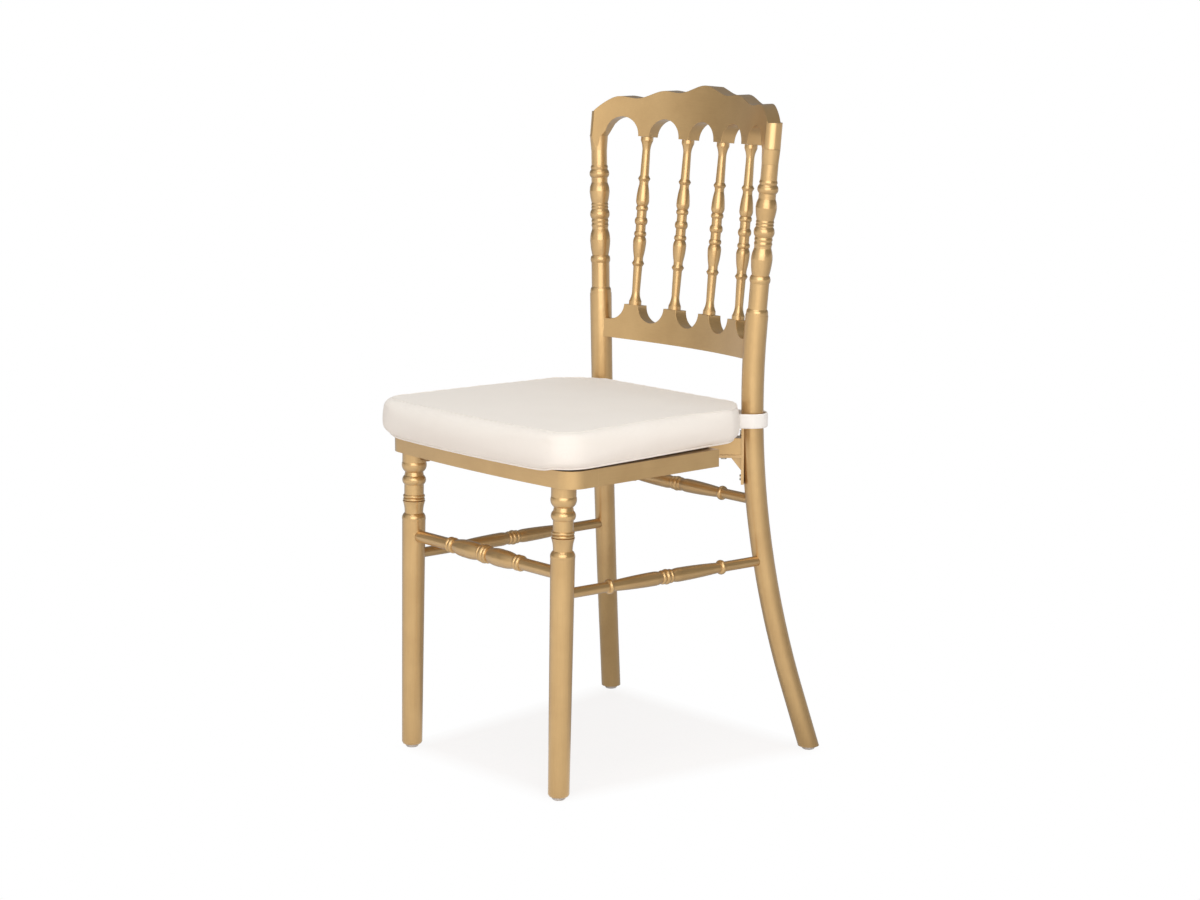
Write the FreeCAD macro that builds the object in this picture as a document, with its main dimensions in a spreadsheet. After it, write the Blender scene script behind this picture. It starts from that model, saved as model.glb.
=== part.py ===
import FreeCAD, Part
import math
import os
import Sketcher
from FreeCAD import Placement, Rotation, Vector

# A stacking banquet chair of turned and bent wood with a loose seat cushion.
# Millimetres, +Z up, the sitter faces -Y and +X is the sitter's left.

SIZES = {
    # Seat frame
    "seat_height": 442.5,
    "frame_thickness": 23.5,
    "seat_width": 390,
    "seat_front_overhang": 16.5,
    "seat_front_bow": 6.5,
    "seat_corner_radius": 26,
    "front_rail_depth": 56,
    "side_rail_width": 45,
    "side_rail_end": 252,
    "rear_board_front": 207,
    "rear_board_back": 315,
    "panel_thickness": 9,
    "panel_ledge": 10,
    # Joints
    "fit_gap": 0.1,
    "panel_gap": 0.3,
    "tenon_stop": 4,
    # Front legs
    "front_foot_y": -195.8,
    "front_leg_spread": 321,
    "front_leg_rake": 1.43,
    "leg_cup_radius": 16.5,
    "leg_cup_height": 14,
    "leg_cup_taper": 14,
    "leg_neck_radius": 12.5,
    "leg_neck_height": 5,
    "leg_bead_radius": 16.4,
    "leg_bead_height": 12.5,
    "leg_cove_radius": 13.5,
    "leg_cove_height": 14,
    "leg_ring_radius": 15.1,
    "leg_ring_height": 4.5,
    "leg_vase_radius": 15.6,
    "leg_vase_height": 17,
    "leg_waist_radius": 12.8,
    "leg_shoulder_height": 10,
    "leg_radius": 16.2,
    "leg_foot_radius": 14.3,
    "leg_foot_chamfer": 2.5,
    "leg_tenon_radius": 9,
    "leg_tenon_length": 18,
    # Rear posts
    "post_spread": 323.3,
    "post_line": 350.7,
    "post_bend_start": 600.5,
    "post_lean_out": 3.78,
    "post_lean_back": 2.35,
    "post_bend_radius": 1430,
    "post_bend_angle": 20.75,
    "post_kick_direction": 45.5,
    "post_radius": 15.6,
    "post_bend_foot_radius": 14.2,
    "post_plain_height": 11,
    "post_line_height": 3.5,
    "post_line_radius": 15,
    "post_step_height": 5,
    "post_plain_radius": 13,
    "post_low_plain_height": 35,
    "post_ring_radius": 14.3,
    "post_ring_height": 10,
    "post_neck_radius": 11.7,
    "post_low_vase_rise": 23,
    "post_low_vase_radius": 14.6,
    "post_low_vase_fall": 15,
    "post_thin_ring_radius": 12.5,
    "post_thin_ring_height": 6,
    "post_bead_radius": 14.2,
    "post_bead_height": 14,
    "post_high_vase_rise": 17,
    "post_high_vase_radius": 14.5,
    "post_high_vase_fall": 12,
    "post_top_neck_height": 7,
    "post_low_neck_height": 3,
    "post_top_ring_height": 12,
    "post_small_ring_height": 4.5,
    "post_top_radius": 11.4,
    "post_tenon_radius": 6.5,
    "post_tenon_length": 22,
    # Back
    "back_lean": 6,
    "back_line": 381.7,
    "lower_rail_top": 596.5,
    "lower_rail_bend": 440,
    "lower_rail_pitch": 9.4,
    "lower_rail_depth": 50,
    "lower_rail_thickness": 20,
    "lower_rail_end": 20.4,
    "scallop_radius": 23.3,
    "crest_bend": 360,
    "crest_pitch": 11.5,
    "crest_thickness": 22,
    "crest_end": 33.2,
    "crest_foot_start": 26.8,
    "crest_foot_height": 20,
    "crest_foot_radius": 13,
    "crest_foot_joint": 19.5,
    "crest_flare_height": 18,
    "crest_flare_radius": 24.2,
    "crest_column_height": 60,
    "pendant_level": 240,
    "arch_radius": 26.3,
    "crest_peak": 317,
    "crest_first_dip": 304.5,
    "crest_first_dip_place": 48.5,
    "crest_first_hump": 306,
    "crest_first_hump_place": 76,
    "crest_second_dip": 293,
    "crest_second_dip_place": 119,
    "crest_second_hump": 294,
    "crest_second_hump_place": 147.5,
    "crest_shoulder": 287,
    "crest_shoulder_place": 161,
    "crest_corner": 270,
    "crest_corner_place": 179,
    # Spindles
    "spindle_bead_radius": 9.3,
    "spindle_bead_half": 5.5,
    "spindle_neck_radius": 7.1,
    "spindle_neck_height": 9,
    "spindle_ring_radius": 8.8,
    "spindle_ring_height": 7.5,
    "spindle_vase_base_radius": 7.3,
    "spindle_vase_radius": 9.4,
    "spindle_vase_rise": 9,
    "spindle_vase_fall": 21,
    "spindle_waist_radius": 6.7,
    "spindle_outer_ring_radius": 8.9,
    "spindle_outer_ring_height": 8,
    "spindle_shaft_radius": 6.4,
    "spindle_throat_radius": 5.7,
    "spindle_cup_radius": 9,
    "spindle_cup_flare": 14,
    "spindle_cup_height": 5,
    "spindle_tenon_radius": 4,
    "spindle_tenon_length": 11,
    # Stretchers at the sides and rear
    "side_stretcher_front_height": 275,
    "side_stretcher_rear_height": 270,
    "side_ring_place": 95,
    "rear_stretcher_height": 354,
    "rear_ring_place": 88,
    "stretcher_end_radius": 7,
    "stretcher_ring_radius": 10.1,
    "stretcher_ring_height": 8,
    "stretcher_neck_radius": 8,
    "stretcher_swell_radius": 9.7,
    "stretcher_swell_place": 22,
    "stretcher_bead_radius": 10.5,
    "stretcher_bead_half": 4,
    "stretcher_small_bead_radius": 9.6,
    "stretcher_small_bead_height": 6,
    # Front stretcher
    "front_stretcher_height": 302,
    "front_end_radius": 8.4,
    "front_ring_place": 66,
    "front_ring_radius": 10.9,
    "front_ring_height": 6.5,
    "front_vase_radius": 12.1,
    "front_vase_place": 38,
    "front_vase_end_radius": 9.6,
    "front_bead_radius": 13,
    "front_bead_half": 4.5,
    "front_small_bead_radius": 12,
    "front_small_bead_height": 5,
    # Rear brackets
    "bracket_seat": 12.4,
    "bracket_plate": 4,
    "bracket_width": 24,
    "bracket_rise": 37,
    "bracket_drop": 41,
    "bracket_flange": 36,
    "bracket_gusset_length": 15,
    "bracket_gusset_drop": 19,
    "bracket_gusset_plate": 5,
    "seat_ear_width": 22,
    "screw_radius": 2,
    "screw_head_radius": 4,
    "screw_head_height": 2.2,
    "screw_length": 16,
    "screw_inset": 8,
    "screw_spread": 12,
    # Stacking bumpers
    "bumper_from_leg": 22.4,
    "bumper_behind_leg": 5,
    "bumper_radius": 5.8,
    "bumper_tip_radius": 5,
    "bumper_height": 11,
    "bumper_spigot_radius": 2.5,
    "bumper_spigot_length": 12,
    # Foot glides
    "glide_height": 5,
    "glide_radius": 9,
    "glide_tread_radius": 7.5,
    "glide_tread_height": 1.5,
    "glide_shank_radius": 1.6,
    "glide_shank_length": 14,
    # Cushion
    "cushion_gap": 0.3,
    "cushion_width": 414,
    "cushion_rear_width": 382,
    "cushion_front": 36,
    "cushion_front_bow": 6,
    "cushion_corner_radius": 42,
    "cushion_side_end": 283,
    "cushion_back": 338,
    "cushion_rear_half_width": 134,
    "cushion_rear_corner_radius": 105,
    "cushion_edge_height": 20,
    "cushion_bottom_inset": 13,
    "cushion_shoulder_height": 50.5,
    "cushion_shoulder_inset": 6.5,
    "cushion_crown_height": 52,
    "cushion_crown_inset": 70,
    "cover_thickness": 1.5,
    # Cushion straps
    "strap_gap": 3,
    "strap_thickness": 2.4,
    "strap_width": 20,
    "strap_above_seat": 22,
    "strap_reach": 45,
}

doc = FreeCAD.newDocument("banquet_chair")
sheet = doc.addObject("Spreadsheet::Sheet", "Sizes")


class Term:
    """A size or a sum of sizes: its value and the sheet expression it comes from."""

    def __init__(self, value, text):
        self.value = value
        self.text = text

    def _join(self, other, sign, value):
        return Term(value, f"({self.text} {sign} {term(other).text})")

    def __add__(self, other):
        return self._join(other, "+", self.value + term(other).value)

    def __sub__(self, other):
        return self._join(other, "-", self.value - term(other).value)

    def __mul__(self, other):
        return self._join(other, "*", self.value * term(other).value)

    def __truediv__(self, other):
        return self._join(other, "/", self.value / term(other).value)

    def __neg__(self):
        return Term(-self.value, f"(-1 * {self.text})")


def term(value):
    """Plain numbers become terms of their own."""
    return value if isinstance(value, Term) else Term(float(value), str(value))


def sine(angle):
    return Term(math.sin(math.radians(angle.value)), f"sin({angle.text})")


def cosine(angle):
    return Term(math.cos(math.radians(angle.value)), f"cos({angle.text})")


ZERO = term(0)
cells = {}


def keep(name, value):
    """Writes one size into the sheet and returns its term."""
    row = len(cells) + 1
    sheet.set(f"A{row}", name)
    sheet.set(f"B{row}", str(value))
    sheet.setAlias(f"B{row}", name)
    cells[name] = Term(float(value), f"Sizes.{name}")
    return cells[name]


for size_name, size_value in SIZES.items():
    keep(size_name, size_value)
S = cells


def val(name):
    return cells[name].value


def bulge_radius(rise, chord):
    """Radius of an arc that rises so far over its chord."""
    return chord * chord / (rise * 8) + rise / 2


# Drawing helpers

def new_body(label):
    body = doc.addObject("PartDesign::Body", label)
    body.Label = label
    return body


def plane_of(body, role):
    return next(f for f in body.Origin.OriginFeatures if f.Role == role)


def arc_between(start, end, radius, turn):
    """Arc under a half circle; turn is 1 for anticlockwise travel and -1 for clockwise."""
    chord = end - start
    half = chord.Length / 2
    height = math.sqrt(max(radius * radius - half * half, 0))
    normal = Vector(-chord.y, chord.x, 0).normalize() * turn
    centre = start + chord * 0.5 + normal * height
    first, last = (start, end) if turn > 0 else (end, start)
    angles = [math.atan2(p.y - centre.y, p.x - centre.x) for p in (first, last)]
    circle = Part.Circle(centre, Vector(0, 0, 1), radius)
    return Part.ArcOfCircle(circle, angles[0], angles[1])


def add_outline(sketch, corners):
    """One closed outline whose corners and arc radii are bound to the sheet.

    A corner is (x, y) where a straight edge follows, or (x, y, radius, turn) where an arc follows.
    """
    corners = [(term(c[0]), term(c[1])) + tuple(c[2:]) for c in corners]
    points = [Vector(c[0].value, c[1].value, 0) for c in corners]
    count = len(corners)
    base = sketch.GeometryCount
    shapes, ends = [], []
    for i, corner in enumerate(corners):
        start, end = points[i], points[(i + 1) % count]
        if len(corner) == 2:
            shapes.append(Part.LineSegment(start, end))
            ends.append((1, 2))
        else:
            shapes.append(arc_between(start, end, corner[2].value, corner[3]))
            ends.append((1, 2) if corner[3] > 0 else (2, 1))
    sketch.addGeometry(shapes)
    rules, bound = [], []
    for i, corner in enumerate(corners):
        here = (base + i, ends[i][0])
        previous = (i - 1) % count
        rules.append(Sketcher.Constraint("Coincident", base + previous, ends[previous][1], *here))
        for kind, axis, size in (("DistanceX", -2, corner[0]), ("DistanceY", -1, corner[1])):
            if size is ZERO:
                rules.append(Sketcher.Constraint("PointOnObject", *here, axis))
            else:
                bound.append((len(rules), size))
                rules.append(Sketcher.Constraint(kind, -1, 1, *here, size.value))
        if len(corner) > 2:
            bound.append((len(rules), corner[2]))
            rules.append(Sketcher.Constraint("Radius", base + i, corner[2].value))
    first = sketch.ConstraintCount
    sketch.addConstraint(rules)
    for index, size in bound:
        sketch.setExpression(f"Constraints[{first + index}]", size.text)


def new_sketch(body, name, role, lift=None, turn=None):
    """Sketch on one of the body's own planes, lifted along its normal or turned about the vertical."""
    sketch = body.newObject("Sketcher::SketchObject", name)
    sketch.AttachmentSupport = (plane_of(body, role), "")
    sketch.MapMode = "FlatFace"
    if lift is not None:
        sketch.setExpression("AttachmentOffset.Base.z", lift.text)
    if turn is not None:
        sketch.AttachmentOffset = Placement(Vector(), Rotation(Vector(0, 1, 0), turn.value))
        sketch.setExpression("AttachmentOffset.Rotation.Angle", turn.text)
    return sketch


def pad(body, sketch, length, name):
    feature = body.newObject("PartDesign::Pad", name)
    feature.Profile = sketch
    feature.setExpression("Length", length.text)
    return feature


def pocket(body, sketch, name, reach, backwards):
    feature = body.newObject("PartDesign::Pocket", name)
    feature.Profile = sketch
    feature.setExpression("Length", reach.text)
    feature.Reversed = backwards
    return feature


class Turning:
    """A lathe profile built up along its axis from one end."""

    def __init__(self, radius, height=ZERO):
        self.height = height
        self.radius = term(radius)
        self.corners = [(self.radius, height)]

    def to(self, rise, radius):
        """A straight or tapered length."""
        self.height = self.height + rise
        self.radius = term(radius)
        self.corners.append((self.radius, self.height))
        return self

    def step(self, radius):
        """A square shoulder."""
        return self.to(ZERO, radius)

    def reach(self, height, radius):
        """A straight or tapered length up to a set height."""
        self.height = height
        self.radius = term(radius)
        self.corners.append((self.radius, self.height))
        return self

    def curve(self, rise, radius, swell):
        """A length bowed outwards, or inwards where the swell is negative."""
        run = term(rise)
        step = term(radius) - self.radius
        square = run * run + step * step
        size = term(abs(swell))
        bow = square / (size * 8) + size / 2
        self.corners[-1] = self.corners[-1] + (bow, 1 if swell > 0 else -1)
        return self.to(rise, radius)

    def bead(self, height, crest):
        """A round bead that starts and ends at the present radius."""
        rise = term(crest) - self.radius
        bow = term(height) * height / (rise * 8) + rise / 2
        self.corners[-1] = self.corners[-1] + (bow, 1)
        return self.to(height, self.radius)

    def ridge(self, height, crest):
        """A thin ring with a sharp crest."""
        base = self.radius
        half = term(height) / 2
        return self.to(half, crest).to(half, base)

    def mirrored(self):
        """The same profile continued backwards through the origin of its heights."""
        lower = []
        for i in range(len(self.corners) - 1, 0, -1):
            corner, before = self.corners[i], self.corners[i - 1]
            arc = before[2:]
            lower.append((corner[0], -corner[1]) + arc)
        if self.corners[0][1].value != 0:
            raise ValueError("a mirrored profile starts at its middle")
        whole = Turning(self.radius)
        whole.corners = lower + self.corners
        return whole


def turned(label, turning):
    """Body turned about its own Z axis."""
    body = new_body(label)
    sketch = new_sketch(body, f"{label}_profile", "XZ_Plane")
    corners = turning.corners
    outline = [(ZERO, corners[0][1])] + corners + [(ZERO, corners[-1][1])]
    add_outline(sketch, outline)
    spin = body.newObject("PartDesign::Revolution", f"{label}_turning")
    spin.Profile = sketch
    spin.ReferenceAxis = (sketch, ["V_Axis"])
    spin.Angle = 360
    return body


def facing(origin, along, sideways=None):
    """Placement whose Z axis runs along one direction and X axis as near as can be to another."""
    along = Vector(along).normalize()
    side = Vector(sideways) if sideways else Vector(1, 0, 0)
    if abs(along.dot(side.normalize())) > 0.999:
        side = Vector(0, 1, 0)
    return Placement(origin, Rotation(side, Vector(), along, "ZXY"))


def cylinder(label, radius, length, place):
    solid = doc.addObject("Part::Cylinder", label)
    solid.setExpression("Radius", term(radius).text)
    solid.setExpression("Height", term(length).text)
    solid.Placement = place
    return solid


def block(label, length, width, height, place):
    solid = doc.addObject("Part::Box", label)
    solid.setExpression("Length", term(length).text)
    solid.setExpression("Width", term(width).text)
    solid.setExpression("Height", term(height).text)
    solid.Placement = place
    return solid


def group(label, solids):
    bunch = doc.addObject("Part::Compound", label)
    bunch.Links = solids
    return bunch


def cut(label, base, tools):
    result = doc.addObject("Part::Cut", f"{label}_cut")
    result.Base = base
    result.Tool = tools[0] if len(tools) == 1 else group(f"{label}_tools", tools)
    return name_piece(result, label)


pieces = {}


def name_piece(item, label):
    """Registers a finished piece under its file name."""
    if item.Label != label:
        for other in doc.Objects:
            if other.Label == label:
                other.Label = f"{label}_blank"
        item.Label = label
    pieces[label] = item
    return item


def mirror(source, label):
    """The opposite-hand piece on the other side of the chair."""
    twin = doc.addObject("Part::Mirroring", f"{label}_mirror")
    twin.Source = source
    twin.Normal = Vector(1, 0, 0)
    return name_piece(twin, label)


def left_and_right(source, name):
    """Names a left piece and adds its right twin."""
    name_piece(source, f"{name}_left")
    return mirror(source, f"{name}_right")


# Reference lines of the chair

UP = Vector(0, 0, 1)
front_y = val("front_foot_y")
underside = S["seat_height"] - S["frame_thickness"]

rake = math.radians(val("front_leg_rake"))
leg_axis = Vector(0, math.sin(rake), math.cos(rake))


def leg_point(height):
    foot = Vector(val("front_leg_spread") / 2, front_y, 0)
    return foot + leg_axis * (height / leg_axis.z)


post_axis = Vector(math.tan(math.radians(val("post_lean_out"))),
                   math.tan(math.radians(val("post_lean_back"))), 1).normalize()
post_origin = Vector(val("post_spread") / 2, front_y + val("post_line"), val("post_bend_start"))
kick_angle = math.radians(val("post_kick_direction"))
kick = Vector(math.sin(kick_angle), math.cos(kick_angle), 0)
kick_square = (kick - post_axis * kick.dot(post_axis)).normalize()


def post_bend_point(angle):
    """Point of the post's centre line part of the way round its bend."""
    radius = val("post_bend_radius")
    return (post_origin + kick_square * (radius * (1 - math.cos(angle)))
            - post_axis * (radius * math.sin(angle)))


def post_direction(angle):
    """Direction down the post part of the way round its bend."""
    return kick_square * math.sin(angle) - post_axis * math.cos(angle)


bend = math.radians(val("post_bend_angle"))


def post_point(height):
    """Point of the post's centre line at a height above the floor."""
    if height >= post_origin.z:
        return post_origin + post_axis * ((height - post_origin.z) / post_axis.z)
    bend_end = post_bend_point(bend)
    if height <= bend_end.z:
        down = post_direction(bend)
        return bend_end + down * ((height - bend_end.z) / down.z)
    low, high = 0.0, bend
    while high - low > 1e-9:
        middle = (low + high) / 2
        if post_bend_point(middle).z > height:
            low = middle
        else:
            high = middle
    return post_bend_point(low)


lean = math.radians(val("back_lean"))
back_up = Vector(0, math.sin(lean), math.cos(lean))
back_out = Vector(0, math.cos(lean), -math.sin(lean))
back_origin = Vector(0, front_y + val("back_line"), val("lower_rail_top"))


def back_point(radius, angle, level):
    """Point on a rail's bent centre line, at an angle from its middle and a level up the back."""
    turn = math.radians(angle)
    return (back_origin + Vector(radius * math.sin(turn), 0, 0)
            + back_out * (radius * (math.cos(turn) - 1)) + back_up * level)


def bore(label, start, end, radius, margin):
    """Cylinder for a round hole that runs from a stop towards a mouth and past it."""
    run = Vector(end) - Vector(start)
    length = term(run.Length) + margin
    return cylinder(label, term(radius) + S["fit_gap"], length, facing(start, run))


def floor_cutter(label):
    """Block that trims a leg level with the top of its glide."""
    span = term(300)
    place = Placement(Vector(0, front_y - span.value / 2, val("glide_height") - span.value), Rotation())
    return block(label, span, span * 3, span, place)


OVERRUN = term(20)

# Stretchers

half_spread = S["front_leg_spread"] / 2


def plain_stretcher(label, half_length, ring_place):
    """Side and rear stretchers: a middle bead, a long taper, a ring and a plain end."""
    half = Turning(S["stretcher_bead_radius"])
    neck = S["stretcher_neck_radius"]
    rise = S["stretcher_bead_radius"] - neck
    bead = S["stretcher_bead_half"]
    bow = bead * bead / (rise * 2) + rise / 2
    half.corners[0] = half.corners[0] + (bow, 1)
    half.to(bead, neck)
    half.bead(S["stretcher_small_bead_height"], S["stretcher_small_bead_radius"])
    half.curve(S["stretcher_swell_place"] - half.height, S["stretcher_swell_radius"], 0.4)
    half.curve(term(ring_place) - half.height, S["stretcher_end_radius"], 0.6)
    half.bead(S["stretcher_ring_height"], S["stretcher_ring_radius"])
    half.reach(half_length, S["stretcher_end_radius"])
    return turned(label, half.mirrored())


def front_stretcher(label, half_length):
    half = Turning(S["front_bead_radius"])
    end = S["front_vase_end_radius"]
    rise = S["front_bead_radius"] - end
    bead = S["front_bead_half"]
    bow = bead * bead / (rise * 2) + rise / 2
    half.corners[0] = half.corners[0] + (bow, 1)
    half.to(bead, end)
    half.bead(S["front_small_bead_height"], S["front_small_bead_radius"])
    half.curve(S["front_vase_place"] - half.height, S["front_vase_radius"], 1.2)
    half.curve(S["front_ring_place"] - half.height, S["front_end_radius"], 1.2)
    half.bead(S["front_ring_height"], S["front_ring_radius"])
    half.bead(S["front_ring_height"], S["front_ring_radius"])
    half.reach(half_length, S["front_end_radius"])
    return turned(label, half.mirrored())


stop = S["tenon_stop"]
front_ends = [leg_point(val("front_stretcher_height"))]
front_half = half_spread - stop
front_bar = front_stretcher("front_stretcher", front_half)
front_bar.Placement = facing(Vector(0, front_ends[0].y, front_ends[0].z), Vector(1, 0, 0))
name_piece(front_bar, "front_stretcher")

side_front = leg_point(val("side_stretcher_front_height"))
side_rear = post_point(val("side_stretcher_rear_height"))
side_run = side_rear - side_front
side_half = keep("side_stretcher_half", side_run.Length / 2 - val("tenon_stop"))
side_bar = plain_stretcher("side_stretcher_left", side_half, S["side_ring_place"])
side_bar.Placement = facing(side_front + side_run * 0.5, side_run)
left_and_right(side_bar, "side_stretcher")

rear_end = post_point(val("rear_stretcher_height"))
rear_half = keep("rear_stretcher_half", rear_end.x - val("tenon_stop"))
rear_bar = plain_stretcher("rear_stretcher", rear_half, S["rear_ring_place"])
rear_bar.Placement = facing(Vector(0, rear_end.y, rear_end.z), Vector(1, 0, 0))
name_piece(rear_bar, "rear_stretcher")

# Front legs

leg_floor = leg_point(val("glide_height"))
leg_top = leg_point(underside.value)
leg_length = keep("front_leg_length", (leg_top - leg_floor).Length)
leg = Turning(S["leg_foot_radius"] - S["leg_foot_chamfer"], -S["leg_foot_chamfer"])
leg.to(S["leg_foot_chamfer"] * 2, S["leg_foot_radius"])
cup_base = leg_length - S["leg_cup_height"] - S["leg_cup_taper"]
bead_base = cup_base - S["leg_neck_height"] - S["leg_bead_height"]
ring_base = bead_base - S["leg_cove_height"] - S["leg_ring_height"] * 2
vase_base = ring_base - S["leg_vase_height"]
leg.reach(vase_base - S["leg_shoulder_height"], S["leg_radius"])
leg.curve(S["leg_shoulder_height"], S["leg_waist_radius"], 1.6)
leg.curve(S["leg_vase_height"], S["leg_vase_radius"], -0.8)
leg.step(S["leg_cove_radius"])
leg.bead(S["leg_ring_height"], S["leg_ring_radius"])
leg.bead(S["leg_ring_height"], S["leg_ring_radius"])
leg.to(S["leg_cove_height"], S["leg_cove_radius"])
leg.bead(S["leg_bead_height"], S["leg_bead_radius"])
leg.to(S["leg_neck_height"], S["leg_neck_radius"])
leg.curve(S["leg_cup_taper"], S["leg_cup_radius"], 2.4)
leg.to(S["leg_cup_height"] + S["leg_foot_chamfer"], S["leg_cup_radius"])
leg.step(S["leg_tenon_radius"])
leg.reach(leg_length + S["leg_tenon_length"], S["leg_tenon_radius"])
leg_blank = turned("front_leg_blank", leg)
leg_blank.Placement = facing(leg_floor, leg_axis)

# The shoulder under the seat is trimmed level around the tenon.
collar_size = S["leg_cup_radius"] * 2 + OVERRUN
collar_place = Placement(Vector(leg_top.x - collar_size.value / 2, leg_top.y - collar_size.value / 2,
                                underside.value), Rotation())
collar_block = block("leg_collar_block", collar_size, collar_size, OVERRUN, collar_place)
collar_core = cylinder("leg_collar_core", S["leg_tenon_radius"], OVERRUN * 2,
                       facing(leg_top - leg_axis * OVERRUN.value / 2, leg_axis))
collar = doc.addObject("Part::Cut", "leg_collar")
collar.Base = collar_block
collar.Tool = collar_core

leg_side_bore = bore("leg_side_bore", side_front + side_run.normalize() * val("tenon_stop"),
                     side_front + side_run * val("leg_radius"), S["stretcher_end_radius"], OVERRUN)
leg_front_mouth = front_ends[0] - Vector(val("leg_radius"), 0, 0)
leg_front_bore = bore("leg_front_bore", front_ends[0] - Vector(val("tenon_stop"), 0, 0), leg_front_mouth,
                      S["front_end_radius"], OVERRUN)
glide_shank = S["glide_shank_length"]
leg_glide_bore = cylinder("leg_glide_bore", S["glide_shank_radius"] + S["fit_gap"],
                          glide_shank + S["fit_gap"], Placement(leg_floor, Rotation()))
leg_left = cut("front_leg_left", leg_blank, [collar, leg_side_bore, leg_front_bore, leg_glide_bore,
                                             floor_cutter("leg_floor_cutter")])
mirror(leg_left, "front_leg_right")

# Rear posts

crest_joint_level = S["pendant_level"] - S["crest_foot_joint"]
joint_height = back_point(val("crest_bend"), 0, crest_joint_level.value).z
post_top = post_point(joint_height)
post_length = keep("post_upper_length", (post_top - post_origin).Length)

post = Turning(S["post_radius"])
post.to(S["post_plain_height"], S["post_radius"])
post.step(S["post_line_radius"]).to(S["post_line_height"], S["post_line_radius"])
post.curve(S["post_step_height"], S["post_plain_radius"], 0.5)
post.to(S["post_low_plain_height"], S["post_plain_radius"])
post.bead(S["post_ring_height"], S["post_ring_radius"])
post.step(S["post_neck_radius"])
post.curve(S["post_low_vase_rise"], S["post_low_vase_radius"], 0.5)
post.curve(S["post_low_vase_fall"], S["post_neck_radius"], 0.7)
post.to(S["post_low_neck_height"], S["post_neck_radius"])
post.ridge(S["post_thin_ring_height"], S["post_thin_ring_radius"])
post.ridge(S["post_thin_ring_height"], S["post_thin_ring_radius"])
post.bead(S["post_bead_height"], S["post_bead_radius"])
post.ridge(S["post_small_ring_height"], S["post_thin_ring_radius"])
post.ridge(S["post_small_ring_height"], S["post_thin_ring_radius"])
post.curve(S["post_high_vase_rise"], S["post_high_vase_radius"], 0.4)
post.curve(S["post_high_vase_fall"], S["post_neck_radius"], 0.6)
post.to(S["post_top_neck_height"], S["post_neck_radius"])
post.bead(S["post_top_ring_height"], S["post_ring_radius"])
post.ridge(S["post_thin_ring_height"], S["post_thin_ring_radius"])
post.step(S["post_top_radius"])
post.reach(post_length, S["post_top_radius"])
post.step(S["post_tenon_radius"])
post.reach(post_length + S["post_tenon_length"], S["post_tenon_radius"])
post_body = turned("rear_post_blank", post)
post_body.Placement = facing(post_origin, post_axis, kick_square)

# Below the turning one steady bend carries the post out to its foot.
bend_end = post_bend_point(bend)
foot_direction = post_direction(bend)
tail = keep("post_tail_length", bend_end.z / -foot_direction.z + val("post_bend_foot_radius"))
bend_radius, bend_angle = S["post_bend_radius"], S["post_bend_angle"]
bend_x = bend_radius - bend_radius * cosine(bend_angle)
bend_z = -(bend_radius * sine(bend_angle))
spine = new_sketch(post_body, "post_spine", "XZ_Plane")
spine_start = Vector(0, 0, 0)
spine_end = Vector(bend_x.value, bend_z.value, 0)
spine.addGeometry(arc_between(spine_start, spine_end, bend_radius.value, 1))
spine.addConstraint([Sketcher.Constraint("Coincident", 0, 1, -1, 1),
                     Sketcher.Constraint("DistanceX", -1, 1, 0, 2, bend_x.value),
                     Sketcher.Constraint("DistanceY", -1, 1, 0, 2, bend_z.value),
                     Sketcher.Constraint("Radius", 0, bend_radius.value)])
for spine_index, spine_size in ((1, bend_x), (2, bend_z), (3, bend_radius)):
    spine.setExpression(f"Constraints[{spine_index}]", spine_size.text)


def circle_sketch(body, name, radius, offset):
    """Round section on the body's XY plane, moved by an offset."""
    sketch = body.newObject("Sketcher::SketchObject", name)
    sketch.AttachmentSupport = (plane_of(body, "XY_Plane"), "")
    sketch.MapMode = "FlatFace"
    sketch.AttachmentOffset = offset
    sketch.addGeometry(Part.Circle(Vector(), Vector(0, 0, 1), radius.value))
    sketch.addConstraint([Sketcher.Constraint("Coincident", 0, 3, -1, 1),
                          Sketcher.Constraint("Radius", 0, radius.value)])
    sketch.setExpression("Constraints[1]", radius.text)
    return sketch


bend_turn = Rotation(Vector(0, 1, 0), -bend_angle.value)
bend_top = circle_sketch(post_body, "post_bend_top", S["post_radius"], Placement())
bend_foot = circle_sketch(post_body, "post_bend_foot", S["post_bend_foot_radius"],
                          Placement(Vector(bend_x.value, 0, bend_z.value), bend_turn))
sweep = post_body.newObject("PartDesign::AdditivePipe", "post_bend")
sweep.Profile = bend_top
sweep.Spine = (spine, ["Edge1"])
sweep.Sections = [bend_foot]
sweep.Transformation = "Multisection"
tail_pad = pad(post_body, bend_foot, tail, "post_tail")
tail_pad.Reversed = True
post_body.Tip = tail_pad

# Hidden seats in the post: stretchers, lower back rail, bracket plate and glide.
post_side_bore = bore("post_side_bore", side_rear - side_run * val("tenon_stop"),
                      side_rear - side_run * val("post_radius"), S["stretcher_end_radius"], OVERRUN)
rear_mouth = rear_end - Vector(val("post_radius"), 0, 0)
post_rear_bore = bore("post_rear_bore", rear_end - Vector(val("tenon_stop"), 0, 0), rear_mouth,
                      S["stretcher_end_radius"], OVERRUN)
post_floor = post_point(val("glide_height"))
post_glide_bore = cylinder("post_glide_bore", S["glide_shank_radius"] + S["fit_gap"],
                           glide_shank + S["fit_gap"], Placement(post_floor, Rotation()))

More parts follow.
